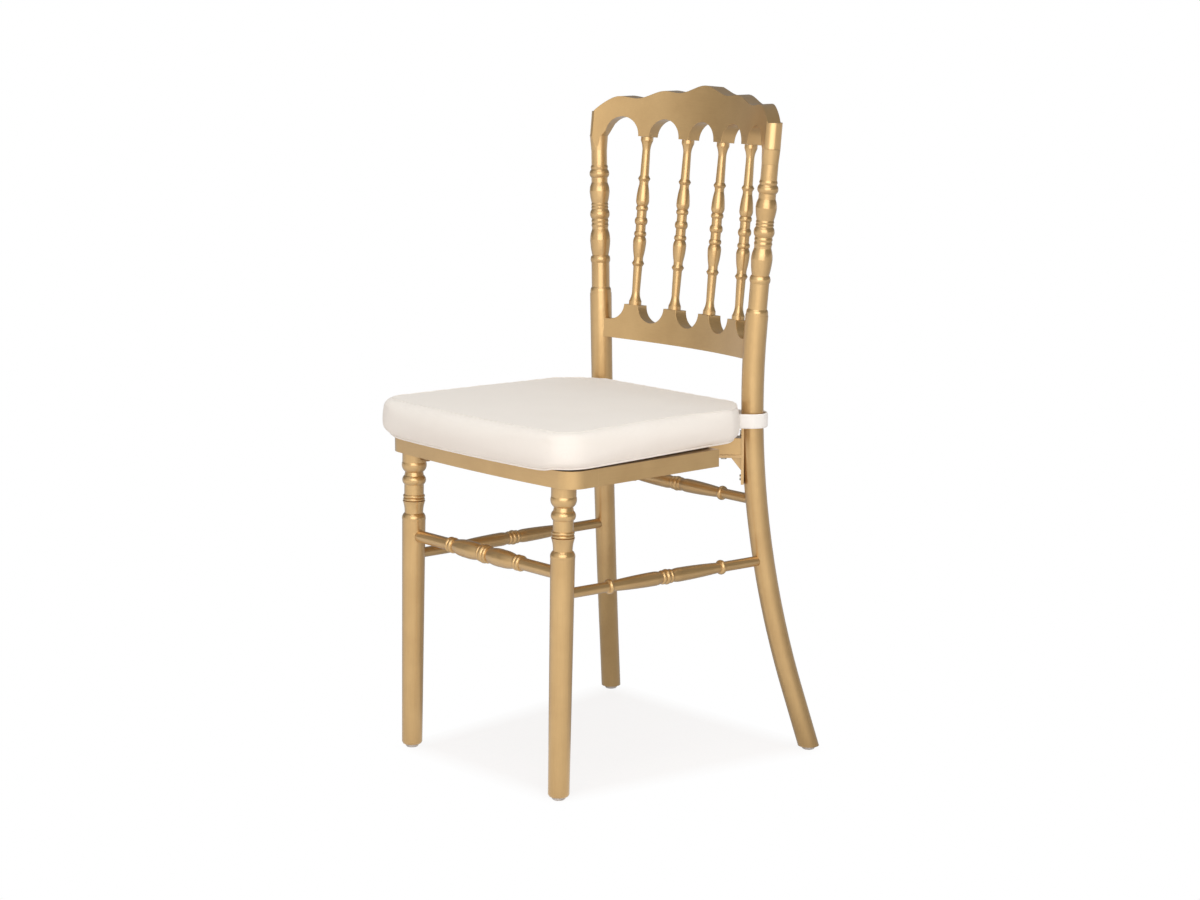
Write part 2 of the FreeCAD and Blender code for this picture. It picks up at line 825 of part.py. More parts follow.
rail_end_angle = val("lower_rail_end")
rail_end_height = S["lower_rail_depth"] - S["scallop_radius"]
rail_turn = math.radians(rail_end_angle)
rail_along = Vector(math.cos(rail_turn), 0, 0) - back_out * math.sin(rail_turn)
rail_across = Vector(math.sin(rail_turn), 0, 0) + back_out * math.cos(rail_turn)
mortise_mouth = term(30)
mortise_corner = (back_point(val("lower_rail_bend"), rail_end_angle, -val("lower_rail_depth"))
                  + rail_along * (val("fit_gap") - mortise_mouth.value)
                  - rail_across * (val("lower_rail_thickness") / 2 + val("fit_gap"))
                  - back_up * val("fit_gap"))
post_mortise = block("post_mortise", mortise_mouth, S["lower_rail_thickness"] + S["fit_gap"] * 2,
                     rail_end_height + S["fit_gap"] * 2,
                     Placement(mortise_corner, Rotation(rail_along, Vector(), back_up, "ZXY")))

inward = -kick
along_plate = Vector(kick.y, -kick.x, 0)
bracket_level = underside.value
bracket_origin = post_point(bracket_level) + inward * val("bracket_seat")
bracket_frame = Rotation(inward, Vector(), UP, "ZXY")
bracket_height = S["bracket_rise"] + S["bracket_drop"]
gap = val("fit_gap")
plate_pocket_corner = (bracket_origin - along_plate * (val("bracket_width") / 2 + gap)
                       - UP * (val("bracket_drop") + gap))
post_plate_pocket = block("post_plate_pocket", OVERRUN, S["bracket_width"] + S["fit_gap"] * 2,
                          bracket_height + S["fit_gap"] * 2, Placement(plate_pocket_corner, bracket_frame))

# Bracket screws: two into the post, two up into the seat ear.
screw_sites = []
for level in (S["bracket_rise"] - S["screw_inset"], -(S["bracket_drop"] - S["screw_inset"])):
    head = bracket_origin + inward * val("bracket_plate") + UP * level.value
    screw_sites.append((head, -inward))
for spread in (S["screw_spread"] / 2, S["screw_spread"] / -2):
    place = inward * (val("bracket_flange") - val("screw_inset")) + along_plate * spread.value
    head = bracket_origin + place - UP * val("bracket_plate")
    screw_sites.append((head, UP))

screws, screw_holes = [], []
for index, (head, direction) in enumerate(screw_sites):
    shank = Turning(S["screw_head_radius"], -S["screw_head_height"])
    shank.to(S["screw_head_height"], S["screw_head_radius"])
    shank.step(S["screw_radius"]).to(S["screw_length"], S["screw_radius"])
    screw = turned(f"bracket_screw_{index + 1}", shank)
    screw.Placement = facing(head, direction)
    screws.append(screw)
    hole = cylinder(f"bracket_screw_hole_{index + 1}", S["screw_radius"] + S["fit_gap"],
                    S["screw_length"] + S["fit_gap"], facing(head, direction))
    screw_holes.append(hole)
screws_left = group("bracket_screws_left", screws)
screws_right = doc.addObject("Part::Mirroring", "bracket_screws_right")
screws_right.Source = screws_left
screws_right.Normal = Vector(1, 0, 0)
name_piece(group("bracket_screws", [screws_left, screws_right]), "bracket_screws")

post_left = cut("rear_post_left", post_body,
                [post_side_bore, post_rear_bore, post_glide_bore, post_mortise, post_plate_pocket,
                 screw_holes[0], screw_holes[1], floor_cutter("post_floor_cutter")])
mirror(post_left, "rear_post_right")

# Brackets: a plate on the post, a flange under the seat ear and a gusset between them.

bracket = new_body("rear_bracket_blank")
plate_size, bracket_half = S["bracket_plate"], S["bracket_width"] / 2
profile = new_sketch(bracket, "bracket_profile", "XZ_Plane", -bracket_half)
add_outline(profile, [(ZERO, -S["bracket_drop"]), (plate_size, -S["bracket_drop"]),
                      (plate_size, -plate_size), (S["bracket_flange"], -plate_size),
                      (S["bracket_flange"], ZERO), (plate_size, ZERO),
                      (plate_size, S["bracket_rise"]), (ZERO, S["bracket_rise"])])
pad(bracket, profile, S["bracket_width"], "bracket_bend").Reversed = False
gusset_sketch = new_sketch(bracket, "gusset_profile", "XZ_Plane", -(S["bracket_gusset_plate"] / 2))
add_outline(gusset_sketch, [(plate_size / 2, -plate_size / 2),
                            (plate_size + S["bracket_gusset_length"], -plate_size / 2),
                            (plate_size + S["bracket_gusset_length"], -plate_size),
                            (plate_size, -plate_size - S["bracket_gusset_drop"]),
                            (plate_size / 2, -plate_size - S["bracket_gusset_drop"])])
gusset = pad(bracket, gusset_sketch, S["bracket_gusset_plate"], "bracket_gusset")
bracket.Tip = gusset
bracket.Placement = Placement(bracket_origin, bracket_frame)
bracket_left = cut("rear_bracket_left", bracket, screw_holes)
mirror(bracket_left, "rear_bracket_right")

# Seat frame, drawn in plan from the line of the front feet

FOOT = S["front_foot_y"]
seat_half = S["seat_width"] / 2
front_middle = FOOT - S["seat_front_overhang"]
front_side = front_middle + S["seat_front_bow"]
inner_front = front_middle + S["front_rail_depth"]
inner_side = seat_half - S["side_rail_width"]
corner = S["seat_corner_radius"]
seat_corner_x = seat_half - corner
bow_radius = bulge_radius(S["seat_front_bow"], seat_corner_x * 2)
frame_bottom = Placement(Vector(0, 0, underside.value), Rotation())


def frame_rail(label, corners):
    body = new_body(label)
    sketch = new_sketch(body, f"{label}_plan", "XY_Plane")
    add_outline(sketch, corners)
    pad(body, sketch, S["frame_thickness"], f"{label}_board")
    body.Placement = frame_bottom
    return body


front_rail = frame_rail("seat_front_rail_blank", [
    (-seat_half, inner_front), (-seat_half, front_side + corner, corner, 1),
    (-seat_corner_x, front_side, bow_radius, 1), (seat_corner_x, front_side, corner, 1),
    (seat_half, front_side + corner), (seat_half, inner_front)])
side_end = FOOT + S["side_rail_end"]
side_rail = frame_rail("seat_side_rail_blank", [
    (inner_side, inner_front), (seat_half, inner_front), (seat_half, side_end), (inner_side, side_end)])

# The rear board carries an ear at each corner that points at its post.
ear_half = val("seat_ear_width") / 2
ear_end = bracket_origin + inward * val("bracket_plate")
ear_front = ear_end + along_plate * ear_half
ear_back = ear_end - along_plate * ear_half
board_front = FOOT + S["rear_board_front"]
board_back = FOOT + S["rear_board_back"]
notch_x = ear_front.x - (ear_front.y - side_end.value) * inward.x / inward.y
back_x = ear_back.x - (ear_back.y - board_back.value) * inward.x / inward.y
ear_points = {}
for ear_name, ear_value in (("ear_front_x", ear_front.x), ("ear_front_y", ear_front.y),
                            ("ear_back_x", ear_back.x), ("ear_back_y", ear_back.y),
                            ("ear_notch_x", notch_x), ("ear_root_x", back_x)):
    ear_points[ear_name] = keep(ear_name, round(ear_value, 4))
half_board = [(inner_side, board_front), (inner_side, side_end), (ear_points["ear_notch_x"], side_end),
              (ear_points["ear_front_x"], ear_points["ear_front_y"]),
              (ear_points["ear_back_x"], ear_points["ear_back_y"]),
              (ear_points["ear_root_x"], board_back)]
rear_board = frame_rail("seat_rear_board_blank",
                        half_board + [(-x, y) for x, y in reversed(half_board)])

# A rebate round the inside of the frame takes the panel.
ledge = S["panel_ledge"]
rebate_x = inner_side + ledge
rebate_front = inner_front - ledge
rebate_back = board_front + ledge


def panel_block(label, extra, depth, bottom):
    """Block of the panel's plan, a little larger or smaller all round."""
    corner_point = Vector(-rebate_x.value - extra.value, rebate_front.value - extra.value, bottom)
    return block(label, (rebate_x + extra) * 2, rebate_back - rebate_front + extra * 2, depth,
                 Placement(corner_point, Rotation()))


panel_bottom = val("seat_height") - val("panel_thickness")
rebate = panel_block("panel_rebate", ZERO, S["panel_thickness"] + OVERRUN, panel_bottom)
panel = panel_block("seat_panel", -S["panel_gap"], S["panel_thickness"], panel_bottom)
name_piece(panel, "seat_panel")

leg_socket = bore("leg_socket", leg_point(underside.value - OVERRUN.value),
                  leg_top + leg_axis * (val("leg_tenon_length") + gap), S["leg_tenon_radius"], ZERO)
leg_socket_right = doc.addObject("Part::Mirroring", "leg_socket_right")
leg_socket_right.Source = leg_socket
leg_socket_right.Normal = Vector(1, 0, 0)
# Stacking bumpers sit under the front rail on the inner side of each front leg.
bumper = Turning(S["bumper_tip_radius"] * 0.6, -S["bumper_height"])
bumper.curve(S["bumper_tip_radius"] / 2, S["bumper_tip_radius"], 0.6)
bumper.reach(ZERO, S["bumper_radius"])
bumper.step(S["bumper_spigot_radius"])
bumper.reach(S["bumper_spigot_length"], S["bumper_spigot_radius"])
bumper_body = turned("stacking_bumper_left", bumper)
bumper_site = leg_top + Vector(-val("bumper_from_leg"), val("bumper_behind_leg"), 0)
bumper_place = Placement(bumper_site, Rotation())
bumper_body.Placement = bumper_place
left_and_right(bumper_body, "stacking_bumper")
bumper_socket = cylinder("bumper_socket", S["bumper_spigot_radius"] + S["fit_gap"],
                         S["bumper_spigot_length"] + S["fit_gap"], bumper_place)
bumper_socket_right = doc.addObject("Part::Mirroring", "bumper_socket_right")
bumper_socket_right.Source = bumper_socket
bumper_socket_right.Normal = Vector(1, 0, 0)
cut("seat_front_rail", front_rail,
    [rebate, leg_socket, leg_socket_right, bumper_socket, bumper_socket_right])

side_rail_left = cut("seat_side_rail_left", side_rail, [rebate])
mirror(side_rail_left, "seat_side_rail_right")

ear_holes = group("ear_holes_left", screw_holes[2:])
ear_holes_right = doc.addObject("Part::Mirroring", "ear_holes_right")
ear_holes_right.Source = ear_holes
ear_holes_right.Normal = Vector(1, 0, 0)
cut("seat_rear_board", rear_board, [rebate, ear_holes, ear_holes_right])

# Back rails, drawn about the centre that they are bent round


def rail_frame(radius):
    return Placement(back_origin - back_out * radius, Rotation(Vector(1, 0, 0), Vector(), back_up, "ZXY"))


def sector(radius, thickness, start, end):
    """Plan of a bent board between two angles from the middle."""
    inner = radius - thickness / 2
    outer = radius + thickness / 2
    return [(inner * sine(end), inner * cosine(end), inner, 1),
            (inner * sine(start), inner * cosine(start)),
            (outer * sine(start), outer * cosine(start), outer, -1),
            (outer * sine(end), outer * cosine(end))]


def polar(body, feature, name, count, angle):
    """Copies a cut round the centre of the bend."""
    pattern = body.newObject("PartDesign::PolarPattern", name)
    pattern.Originals = [feature]
    axis = next(f for f in body.Origin.OriginFeatures if f.Role == "Z_Axis")
    pattern.Axis = (axis, [""])
    pattern.setExpression("Angle", angle.text)
    pattern.Occurrences = count
    body.Tip = pattern
    return pattern


def mirror_cut(body, feature, name):
    """Repeats a cut on the other side of the middle."""
    twin = body.newObject("PartDesign::Mirrored", name)
    twin.Originals = [feature]
    twin.MirrorPlane = (plane_of(body, "YZ_Plane"), [""])
    body.Tip = twin
    return twin


def spindle_line(place):
    """Lower and upper seat of a spindle, counted in half pitches from the middle."""
    low = back_point(val("lower_rail_bend"), place * val("lower_rail_pitch") / 2, 0)
    high = back_point(val("crest_bend"), place * val("crest_pitch") / 2, val("pendant_level"))
    return low, high


SPINDLE_PLACES = {"spindle_inner": 1, "spindle_outer": 3}
lower_sockets, crest_sockets = [], []
for spindle_name, spindle_place in SPINDLE_PLACES.items():
    low, high = spindle_line(spindle_place)
    run = high - low
    half_run = keep(f"{spindle_name}_half", run.Length / 2 - val("fit_gap"))
    shape = Turning(S["spindle_bead_radius"])
    neck = S["spindle_neck_radius"]
    rise = S["spindle_bead_radius"] - neck
    bead = S["spindle_bead_half"]
    shape.corners[0] = shape.corners[0] + (bead * bead / (rise * 2) + rise / 2, 1)
    shape.to(bead, neck)
    shape.to(S["spindle_neck_height"], neck)
    shape.bead(S["spindle_ring_height"], S["spindle_ring_radius"])
    shape.step(S["spindle_vase_base_radius"])
    shape.curve(S["spindle_vase_rise"], S["spindle_vase_radius"], 0.8)
    shape.curve(S["spindle_vase_fall"], S["spindle_waist_radius"], 0.5)
    shape.to(S["spindle_neck_height"] / 2, S["spindle_waist_radius"])
    shape.ridge(S["spindle_outer_ring_height"], S["spindle_outer_ring_radius"])
    shape.step(S["spindle_shaft_radius"])
    shape.reach(half_run - S["spindle_cup_flare"] - S["spindle_cup_height"], S["spindle_throat_radius"])
    shape.curve(S["spindle_cup_flare"], S["spindle_cup_radius"], -0.8)
    shape.reach(half_run, S["spindle_cup_radius"])
    shape.step(S["spindle_tenon_radius"])
    shape.reach(half_run + S["spindle_tenon_length"], S["spindle_tenon_radius"])
    spindle = turned(f"{spindle_name}_left", shape.mirrored())
    spindle.Placement = facing(low + run * 0.5, run)
    left_and_right(spindle, spindle_name)
    along = Vector(run).normalize()
    deep = val("spindle_tenon_length") + 2 * val("fit_gap")
    for sockets, mouth, sense in ((lower_sockets, low, -1), (crest_sockets, high, 1)):
        socket = bore(f"{spindle_name}_socket_{len(sockets) + 1}_{sense}", mouth - along * sense * 5,
                      mouth + along * sense * deep, S["spindle_tenon_radius"], ZERO)
        twin = doc.addObject("Part::Mirroring", f"{spindle_name}_socket_twin_{len(sockets)}_{sense}")
        twin.Source = socket
        twin.Normal = Vector(1, 0, 0)
        sockets.extend([socket, twin])

# Lower back rail: scallops between the spindles and a half scallop at each end

lower_bend, lower_thick = S["lower_rail_bend"], S["lower_rail_thickness"]
lower = new_body("lower_back_rail_blank")
lower_plan = new_sketch(lower, "lower_rail_plan", "XY_Plane", -S["lower_rail_depth"])
add_outline(lower_plan, sector(lower_bend, lower_thick, -S["lower_rail_end"], S["lower_rail_end"]))
pad(lower, lower_plan, S["lower_rail_depth"], "lower_rail_board")
scallop = S["scallop_radius"]
clear = S["lower_rail_thickness"]
through = lower_bend + lower_thick
scallop_sketch = new_sketch(lower, "scallop_profile", "XZ_Plane", None, -S["lower_rail_pitch"])
add_outline(scallop_sketch, [(-scallop, clear), (-scallop, ZERO, scallop, 1), (ZERO, -scallop, scallop, 1),
                             (scallop, ZERO), (scallop, clear)])
scallop_cut = pocket(lower, scallop_sketch, "scallop", through, False)
polar(lower, scallop_cut, "scallops", 3, S["lower_rail_pitch"] * 2)
end_sketch = new_sketch(lower, "end_scallop_profile", "XZ_Plane", None, S["lower_rail_pitch"] * 2)
end_reach = clear * 3
add_outline(end_sketch, [(scallop, clear), (-end_reach, clear), (-end_reach, -scallop),
                         (ZERO, -scallop, scallop, 1), (scallop, ZERO)])
end_cut = pocket(lower, end_sketch, "end_scallop", through, False)
mirror_cut(lower, end_cut, "end_scallops")
lower.Placement = rail_frame(val("lower_rail_bend"))
cut("lower_back_rail", lower, lower_sockets)

# Crest rail: arches between pendants, a wavy top and a round foot on each post

crest_bend, crest_thick = S["crest_bend"], S["crest_thickness"]
crest = new_body("crest_rail_blank")
crest_plan = new_sketch(crest, "crest_plan", "XY_Plane", S["pendant_level"])
add_outline(crest_plan, sector(crest_bend, crest_thick, -S["crest_end"], S["crest_end"]))
crest_height = S["crest_peak"] - S["pendant_level"]
pad(crest, crest_plan, crest_height, "crest_board")
foot_drop = S["crest_foot_joint"] + S["crest_foot_radius"] / 2
foot_plan = new_sketch(crest, "crest_foot_plan", "XY_Plane", S["pendant_level"] - foot_drop)
add_outline(foot_plan, sector(crest_bend, crest_thick, S["crest_foot_start"], S["crest_end"]))
add_outline(foot_plan, sector(crest_bend, crest_thick, -S["crest_end"], -S["crest_foot_start"]))
pad(crest, foot_plan, foot_drop, "crest_feet")
crest_through = crest_bend + crest_thick
arch = S["arch_radius"]
arch_sketch = new_sketch(crest, "arch_profile", "XZ_Plane", None, S["crest_pitch"] * -2)
level = S["pendant_level"]
arch_drop = foot_drop * 2
add_outline(arch_sketch, [(-arch, level), (-arch, level - arch_drop), (arch, level - arch_drop),
                          (arch, level, arch, 1), (ZERO, level + arch, arch, 1)])
arch_cut = pocket(crest, arch_sketch, "arch", crest_through, False)
polar(crest, arch_cut, "arches", 5, S["crest_pitch"] * 4)

# The top is cut level, so each point of its outline is carried back to the plane of the middle.
crest_face = crest_bend - crest_thick / 2
top_sketch = new_sketch(crest, "crest_top_profile", "XZ_Plane", -crest_face)
CREST_TOP = ("crest_corner", "crest_shoulder", "crest_second_hump", "crest_second_dip",
             "crest_first_hump", "crest_first_dip")


def carried(place, height):
    """Outline point moved along the level cut from the bent face to the sketch."""
    bow = crest_face.value - math.sqrt(crest_face.value ** 2 - place ** 2)
    return Vector(place, height + bow * math.tan(lean), 0)


half_top = [(val(f"{name}_place"), val(name)) for name in CREST_TOP]
top_points = ([carried(-x, z) for x, z in half_top] + [Vector(0, val("crest_peak"), 0)]
              + [carried(x, z) for x, z in reversed(half_top)])
wave = Part.BSplineCurve()
wave.interpolate(top_points)
left_end, right_end = top_points[0], top_points[-1]
above = val("crest_peak") + val("crest_thickness")
beyond = val("crest_corner_place") + 2 * val("crest_thickness")
rim = [right_end, Vector(beyond, right_end.y, 0), Vector(beyond, above, 0), Vector(-beyond, above, 0),
       Vector(-beyond, left_end.y, 0), left_end]
top_sketch.addGeometry([wave] + [Part.LineSegment(rim[i], rim[i + 1]) for i in range(len(rim) - 1)])
crest_top = pocket(crest, top_sketch, "crest_top", crest_bend, False)
crest_top.UseCustomVector = True
crest_top.Direction = Vector(0, math.cos(lean), math.sin(lean))
crest_top.Midplane = True
crest.Tip = crest_top
crest.Placement = rail_frame(val("crest_bend"))

# Each foot is turned round where it meets its post.
post_rise = Rotation(Vector(1, 0, 0), Vector(), post_axis, "ZXY")
sleeve_radius = S["crest_foot_radius"] * 3
foot_sleeve = cylinder("crest_foot_sleeve", sleeve_radius,
                       S["crest_foot_height"] + S["crest_flare_height"] + OVERRUN,
                       Placement(post_top - post_axis * OVERRUN.value, post_rise))
column_base = post_top + post_axis * val("crest_foot_height")


def cone(label, low_radius, high_radius, height, base):
    solid = doc.addObject("Part::Cone", label)
    solid.setExpression("Radius1", low_radius.text)
    solid.setExpression("Radius2", high_radius.text)
    solid.setExpression("Height", height.text)
    solid.Placement = Placement(base, post_rise)
    return solid


foot_core = doc.addObject("Part::MultiFuse", "crest_foot_core")
foot_core.Shapes = [
    cone("crest_foot_cone", S["post_top_radius"], S["crest_foot_radius"], S["crest_foot_height"], post_top),
    cone("crest_foot_flare", S["crest_foot_radius"], S["crest_flare_radius"], S["crest_flare_height"],
         column_base)]
foot_ring = doc.addObject("Part::Cut", "crest_foot_ring")
foot_ring.Base = foot_sleeve
foot_ring.Tool = foot_core
crest_socket = bore("crest_socket", post_top - post_axis * 5,
                    post_top + post_axis * (val("post_tenon_length") + gap), S["post_tenon_radius"], ZERO)

# Above the foot only the outer half is rounded, as a column with a ledge on top.
column_angle = math.radians((val("crest_foot_start") + val("crest_end")) / 2)
outwards = Vector(math.cos(column_angle), 0, 0) - back_out * math.sin(column_angle)
column_turn = Rotation(outwards.cross(back_up), Vector(), back_up, "ZXY")
column_sleeve = cylinder("crest_column_sleeve", sleeve_radius, S["crest_column_height"],
                         Placement(column_base, column_turn))
column_sleeve.Angle = 180
column_core = cylinder("crest_column_core", S["crest_foot_radius"], S["crest_column_height"],
                       Placement(column_base, column_turn))
column_ring = doc.addObject("Part::Cut", "crest_column_ring")
column_ring.Base = column_sleeve
column_ring.Tool = column_core
crest_tools = [foot_ring, column_ring, crest_socket]
for tool in list(crest_tools):
    twin = doc.addObject("Part::Mirroring", f"{tool.Name}_right")
    twin.Source = tool
    twin.Normal = Vector(1, 0, 0)
    crest_tools.append(twin)
foot_fuse = doc.addObject("Part::MultiFuse", "crest_foot_tools")
foot_fuse.Shapes = crest_tools
cut("crest_rail", crest, [foot_fuse] + crest_sockets)

# Foot glides


def glide(label, site):
    shape = Turning(S["glide_tread_radius"])
    shape.to(S["glide_tread_height"], S["glide_radius"])
    shape.reach(S["glide_height"], S["glide_radius"])
    shape.step(S["glide_shank_radius"])
    shape.reach(S["glide_height"] + S["glide_shank_length"], S["glide_shank_radius"])
    body = turned(f"{label}_left", shape)
    body.Placement = Placement(Vector(site.x, site.y, 0), Rotation())
    return left_and_right(body, label)


glide("glide_front", leg_floor)
glide("glide_rear", post_floor)

# Cushion: one plan drawn in at the bottom, bulged at the sides and crowned on top

cushion_floor = S["seat_height"] + S["cushion_gap"]


def cushion_plan(inset):
    """Outline of the cushion drawn in all round by an inset."""
    inset = term(inset)
    front = FOOT - S["cushion_front"] + inset
    bow = S["cushion_front_bow"]
    side_front = S["cushion_width"] / 2 - inset
    side_back = S["cushion_rear_width"] / 2 - inset
    radius = S["cushion_corner_radius"]
    back = FOOT + S["cushion_back"] - inset
    rear_x = S["cushion_rear_half_width"] - inset / 2
    side_y = FOOT + S["cushion_side_end"] - inset / 2
    front_x = side_front - radius
    bow_size = bulge_radius(bow, front_x * 2)
    corner_y = front + bow + radius
    rear_radius = S["cushion_rear_corner_radius"]
    return [(-front_x, front + bow, bow_size, 1), (front_x, front + bow, radius, 1),
            (side_front, corner_y), (side_back, side_y, rear_radius, 1), (rear_x, back),
            (-rear_x, back, rear_radius, 1), (-side_back, side_y), (-side_front, corner_y, radius, 1)]


def cushion_sides():
    """Heights and insets up the sides: drawn in below, full at the edge and rounded over above."""
    edge, shoulder = S["cushion_edge_height"], S["cushion_shoulder_height"]
    levels = []
    for part in LOWER_SIDE:
        levels.append((edge * (1 - part), S["cushion_bottom_inset"] * part ** 3))
    for part in UPPER_SIDE:
        levels.append((edge + (shoulder - edge) * part, S["cushion_shoulder_inset"] * part ** 3))
    return levels


def cushion_crown():
    """Heights and insets from the shoulder up to the flat of the crown."""
    shoulder, crown = S["cushion_shoulder_height"], S["cushion_crown_height"]
    inner, outer = S["cushion_crown_inset"], S["cushion_shoulder_inset"]
    return [(shoulder + (crown - shoulder) * (2 * part - part * part), outer + (inner - outer) * part)
            for part in CROWN]


LOWER_SIDE = (1, 0.75, 0.45, 0)
UPPER_SIDE = (0.45, 0.75, 0.92, 1)
CROWN = (0, 0.3, 0.65, 1)


def cushion_body(label, shrink):
    """Lofted cushion; shrink leaves room for the cover all round."""
    body = new_body(label)
    shrink = term(shrink)
    squeeze = term(1) - shrink * 2 / S["cushion_crown_height"]
    for stage, levels in (("sides", cushion_sides()), ("crown", cushion_crown())):
        sketches = []
        for number, (height, inset) in enumerate(levels):
            sketch = new_sketch(body, f"{label}_{stage}_{number + 1}", "XY_Plane", height * squeeze + shrink)
            add_outline(sketch, cushion_plan(inset + shrink))
            sketches.append(sketch)
        loft = body.newObject("PartDesign::AdditiveLoft", f"{label}_{stage}")
        loft.Profile = sketches[0]
        loft.Sections = sketches[1:]
        loft.Ruled = False
    body.Placement = Placement(Vector(0, 0, cushion_floor.value), Rotation())
    return body


cushion_outer = cushion_body("cushion_outer", 0)
foam = cushion_body("cushion_foam", S["cover_thickness"])
name_piece(foam, "cushion_foam")
cut("cushion_cover", cushion_outer, [foam])

# Straps: a band from the cushion's rear corner round the post and back

strap_site = post_point(val("seat_height") + val("strap_above_seat"))
strap_inner = S["post_radius"] + S["strap_gap"]
strap_outer = strap_inner + S["strap_thickness"]
strap = new_body("cushion_strap_blank")
strap_plan = new_sketch(strap, "strap_plan", "XY_Plane", -(S["strap_width"] / 2))
reach = S["strap_reach"]
add_outline(strap_plan, [(reach, -strap_outer), (reach, -strap_inner), (ZERO, -strap_inner, strap_inner, -1),
                         (-strap_inner, ZERO, strap_inner, -1), (ZERO, strap_inner), (reach, strap_inner),
                         (reach, strap_outer), (ZERO, strap_outer, strap_outer, 1),
                         (-strap_outer, ZERO, strap_outer, 1), (ZERO, -strap_outer)])
pad(strap, strap_plan, S["strap_width"], "strap_band")
strap.Placement = Placement(strap_site, bracket_frame)
strap_left = cut("cushion_strap_left", strap, [cushion_outer])
mirror(strap_left, "cushion_strap_right")

doc.recompute()

# Nothing is written unless every object is sound and every piece is whole.

SOLID_COUNTS = {"bracket_screws": 2 * len(screw_sites)}
for item in doc.Objects:
    if "Invalid" in item.State or "Error" in item.State:
        raise RuntimeError(f"{item.Label} failed: {item.State}")
for label, item in pieces.items():
    shape = item.Shape
    if shape.isNull() or not shape.isValid():
        raise RuntimeError(f"{label} has no sound shape")
    wanted = SOLID_COUNTS.get(label, 1)
    if len(shape.Solids) != wanted:
        raise RuntimeError(f"{label} has {len(shape.Solids)} solids, not {wanted}")

os.makedirs("parts", exist_ok=True)
for label, item in pieces.items():
    item.Shape.exportStep(f"parts/{label}.step")
box = FreeCAD.BoundBox()
for item in pieces.values():
    box.add(item.Shape.BoundBox)
limits = (box.XMin, box.XMax, box.YMin, box.YMax, box.ZMin, box.ZMax)
print(len(pieces), "pieces, box", [round(v, 2) for v in limits])
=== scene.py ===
import math

import bpy
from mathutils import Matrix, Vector
from mathutils.bvhtree import BVHTree


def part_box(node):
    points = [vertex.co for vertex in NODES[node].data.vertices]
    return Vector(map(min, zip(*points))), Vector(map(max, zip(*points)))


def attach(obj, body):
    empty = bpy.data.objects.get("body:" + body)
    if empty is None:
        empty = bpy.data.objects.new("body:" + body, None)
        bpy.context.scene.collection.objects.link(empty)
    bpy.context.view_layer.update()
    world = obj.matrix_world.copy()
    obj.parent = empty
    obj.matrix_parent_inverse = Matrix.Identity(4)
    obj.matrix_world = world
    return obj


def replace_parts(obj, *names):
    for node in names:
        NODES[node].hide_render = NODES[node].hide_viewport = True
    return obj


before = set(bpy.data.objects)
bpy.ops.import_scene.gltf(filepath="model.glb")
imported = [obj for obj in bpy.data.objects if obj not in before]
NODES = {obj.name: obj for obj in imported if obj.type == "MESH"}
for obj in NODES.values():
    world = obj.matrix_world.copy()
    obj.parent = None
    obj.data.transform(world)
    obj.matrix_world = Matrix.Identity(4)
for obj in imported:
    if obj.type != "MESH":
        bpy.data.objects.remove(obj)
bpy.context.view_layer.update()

MM = 0.001
UP = Vector((0, 0, 1))
WHITE = (1, 1, 1, 1)


# Small helpers


def smooth(low, high, value):
    """0 below low, 1 above high, an even S between them."""
    part = min(1.0, max(0.0, (value - low) / (high - low)))
    return part * part * (3 - 2 * part)


def new_object(name, data):
    made = bpy.data.objects.new(name, data)
    bpy.context.scene.collection.objects.link(made)
    return made


def mesh_object(name, points, faces):
    mesh = bpy.data.meshes.new(name)
    mesh.from_pydata([tuple(point) for point in points], [], faces)
    mesh.update()
    mesh.shade_smooth()
    return new_object(name, mesh)


def tube_rings(path, section, closed):
    """Points and faces of a section swept along a path of (place, across, up) stops."""
    points = []
    faces = []
    count = len(section)
    stops = len(path)
    for place, across, up in path:
        points.extend(place + across * a + up * u for a, u in section)
    for stop in range(stops if closed else stops - 1):
        here = stop * count
        there = (stop + 1) % stops * count
        for corner in range(count):
            after = (corner + 1) % count
            faces.append((here + corner, here + after, there + after, there + corner))
    if not closed:
        faces.append(tuple(reversed(range(count))))
        last = (stops - 1) * count
        faces.append(tuple(last + corner for corner in range(count)))
    return points, faces


def direction(azimuth, elevation):
    """Unit vector from the object towards a place round it, from degrees; azimuth 0 is the front."""
    azimuth, elevation = math.radians(azimuth), math.radians(elevation)
    return Vector((math.sin(azimuth) * math.cos(elevation),
                   -math.cos(azimuth) * math.cos(elevation), math.sin(elevation)))


def aim(piece, target, azimuth, elevation, distance):
    """Puts a camera or lamp at a place round a target and turns it to face that target."""
    towards = direction(azimuth, elevation)
    piece.location = target + towards * distance
    piece.rotation_euler = (-towards).to_track_quat("-Z", "Y").to_euler()


# Camera at the photograph's viewing angle

TARGET = Vector((0, 0.01408, 0.41942))
AZIMUTH = 49.30
ELEVATION = 10.40
DISTANCE = 3.72315
FOCAL_PIXELS = 2695.43
PICTURE_WIDTH = 1200
SENSOR = 36.0
CLIP_NEAR = 0.05
CLIP_FAR = 60

camera = new_object("camera", bpy.data.cameras.new("camera"))
camera.data.sensor_width = SENSOR
camera.data.lens = SENSOR * FOCAL_PIXELS / PICTURE_WIDTH
camera.data.clip_start = CLIP_NEAR
camera.data.clip_end = CLIP_FAR
aim(camera, TARGET, AZIMUTH, ELEVATION, DISTANCE)
bpy.context.scene.camera = camera
bpy.context.scene.view_settings.view_transform = "Standard"


# Materials


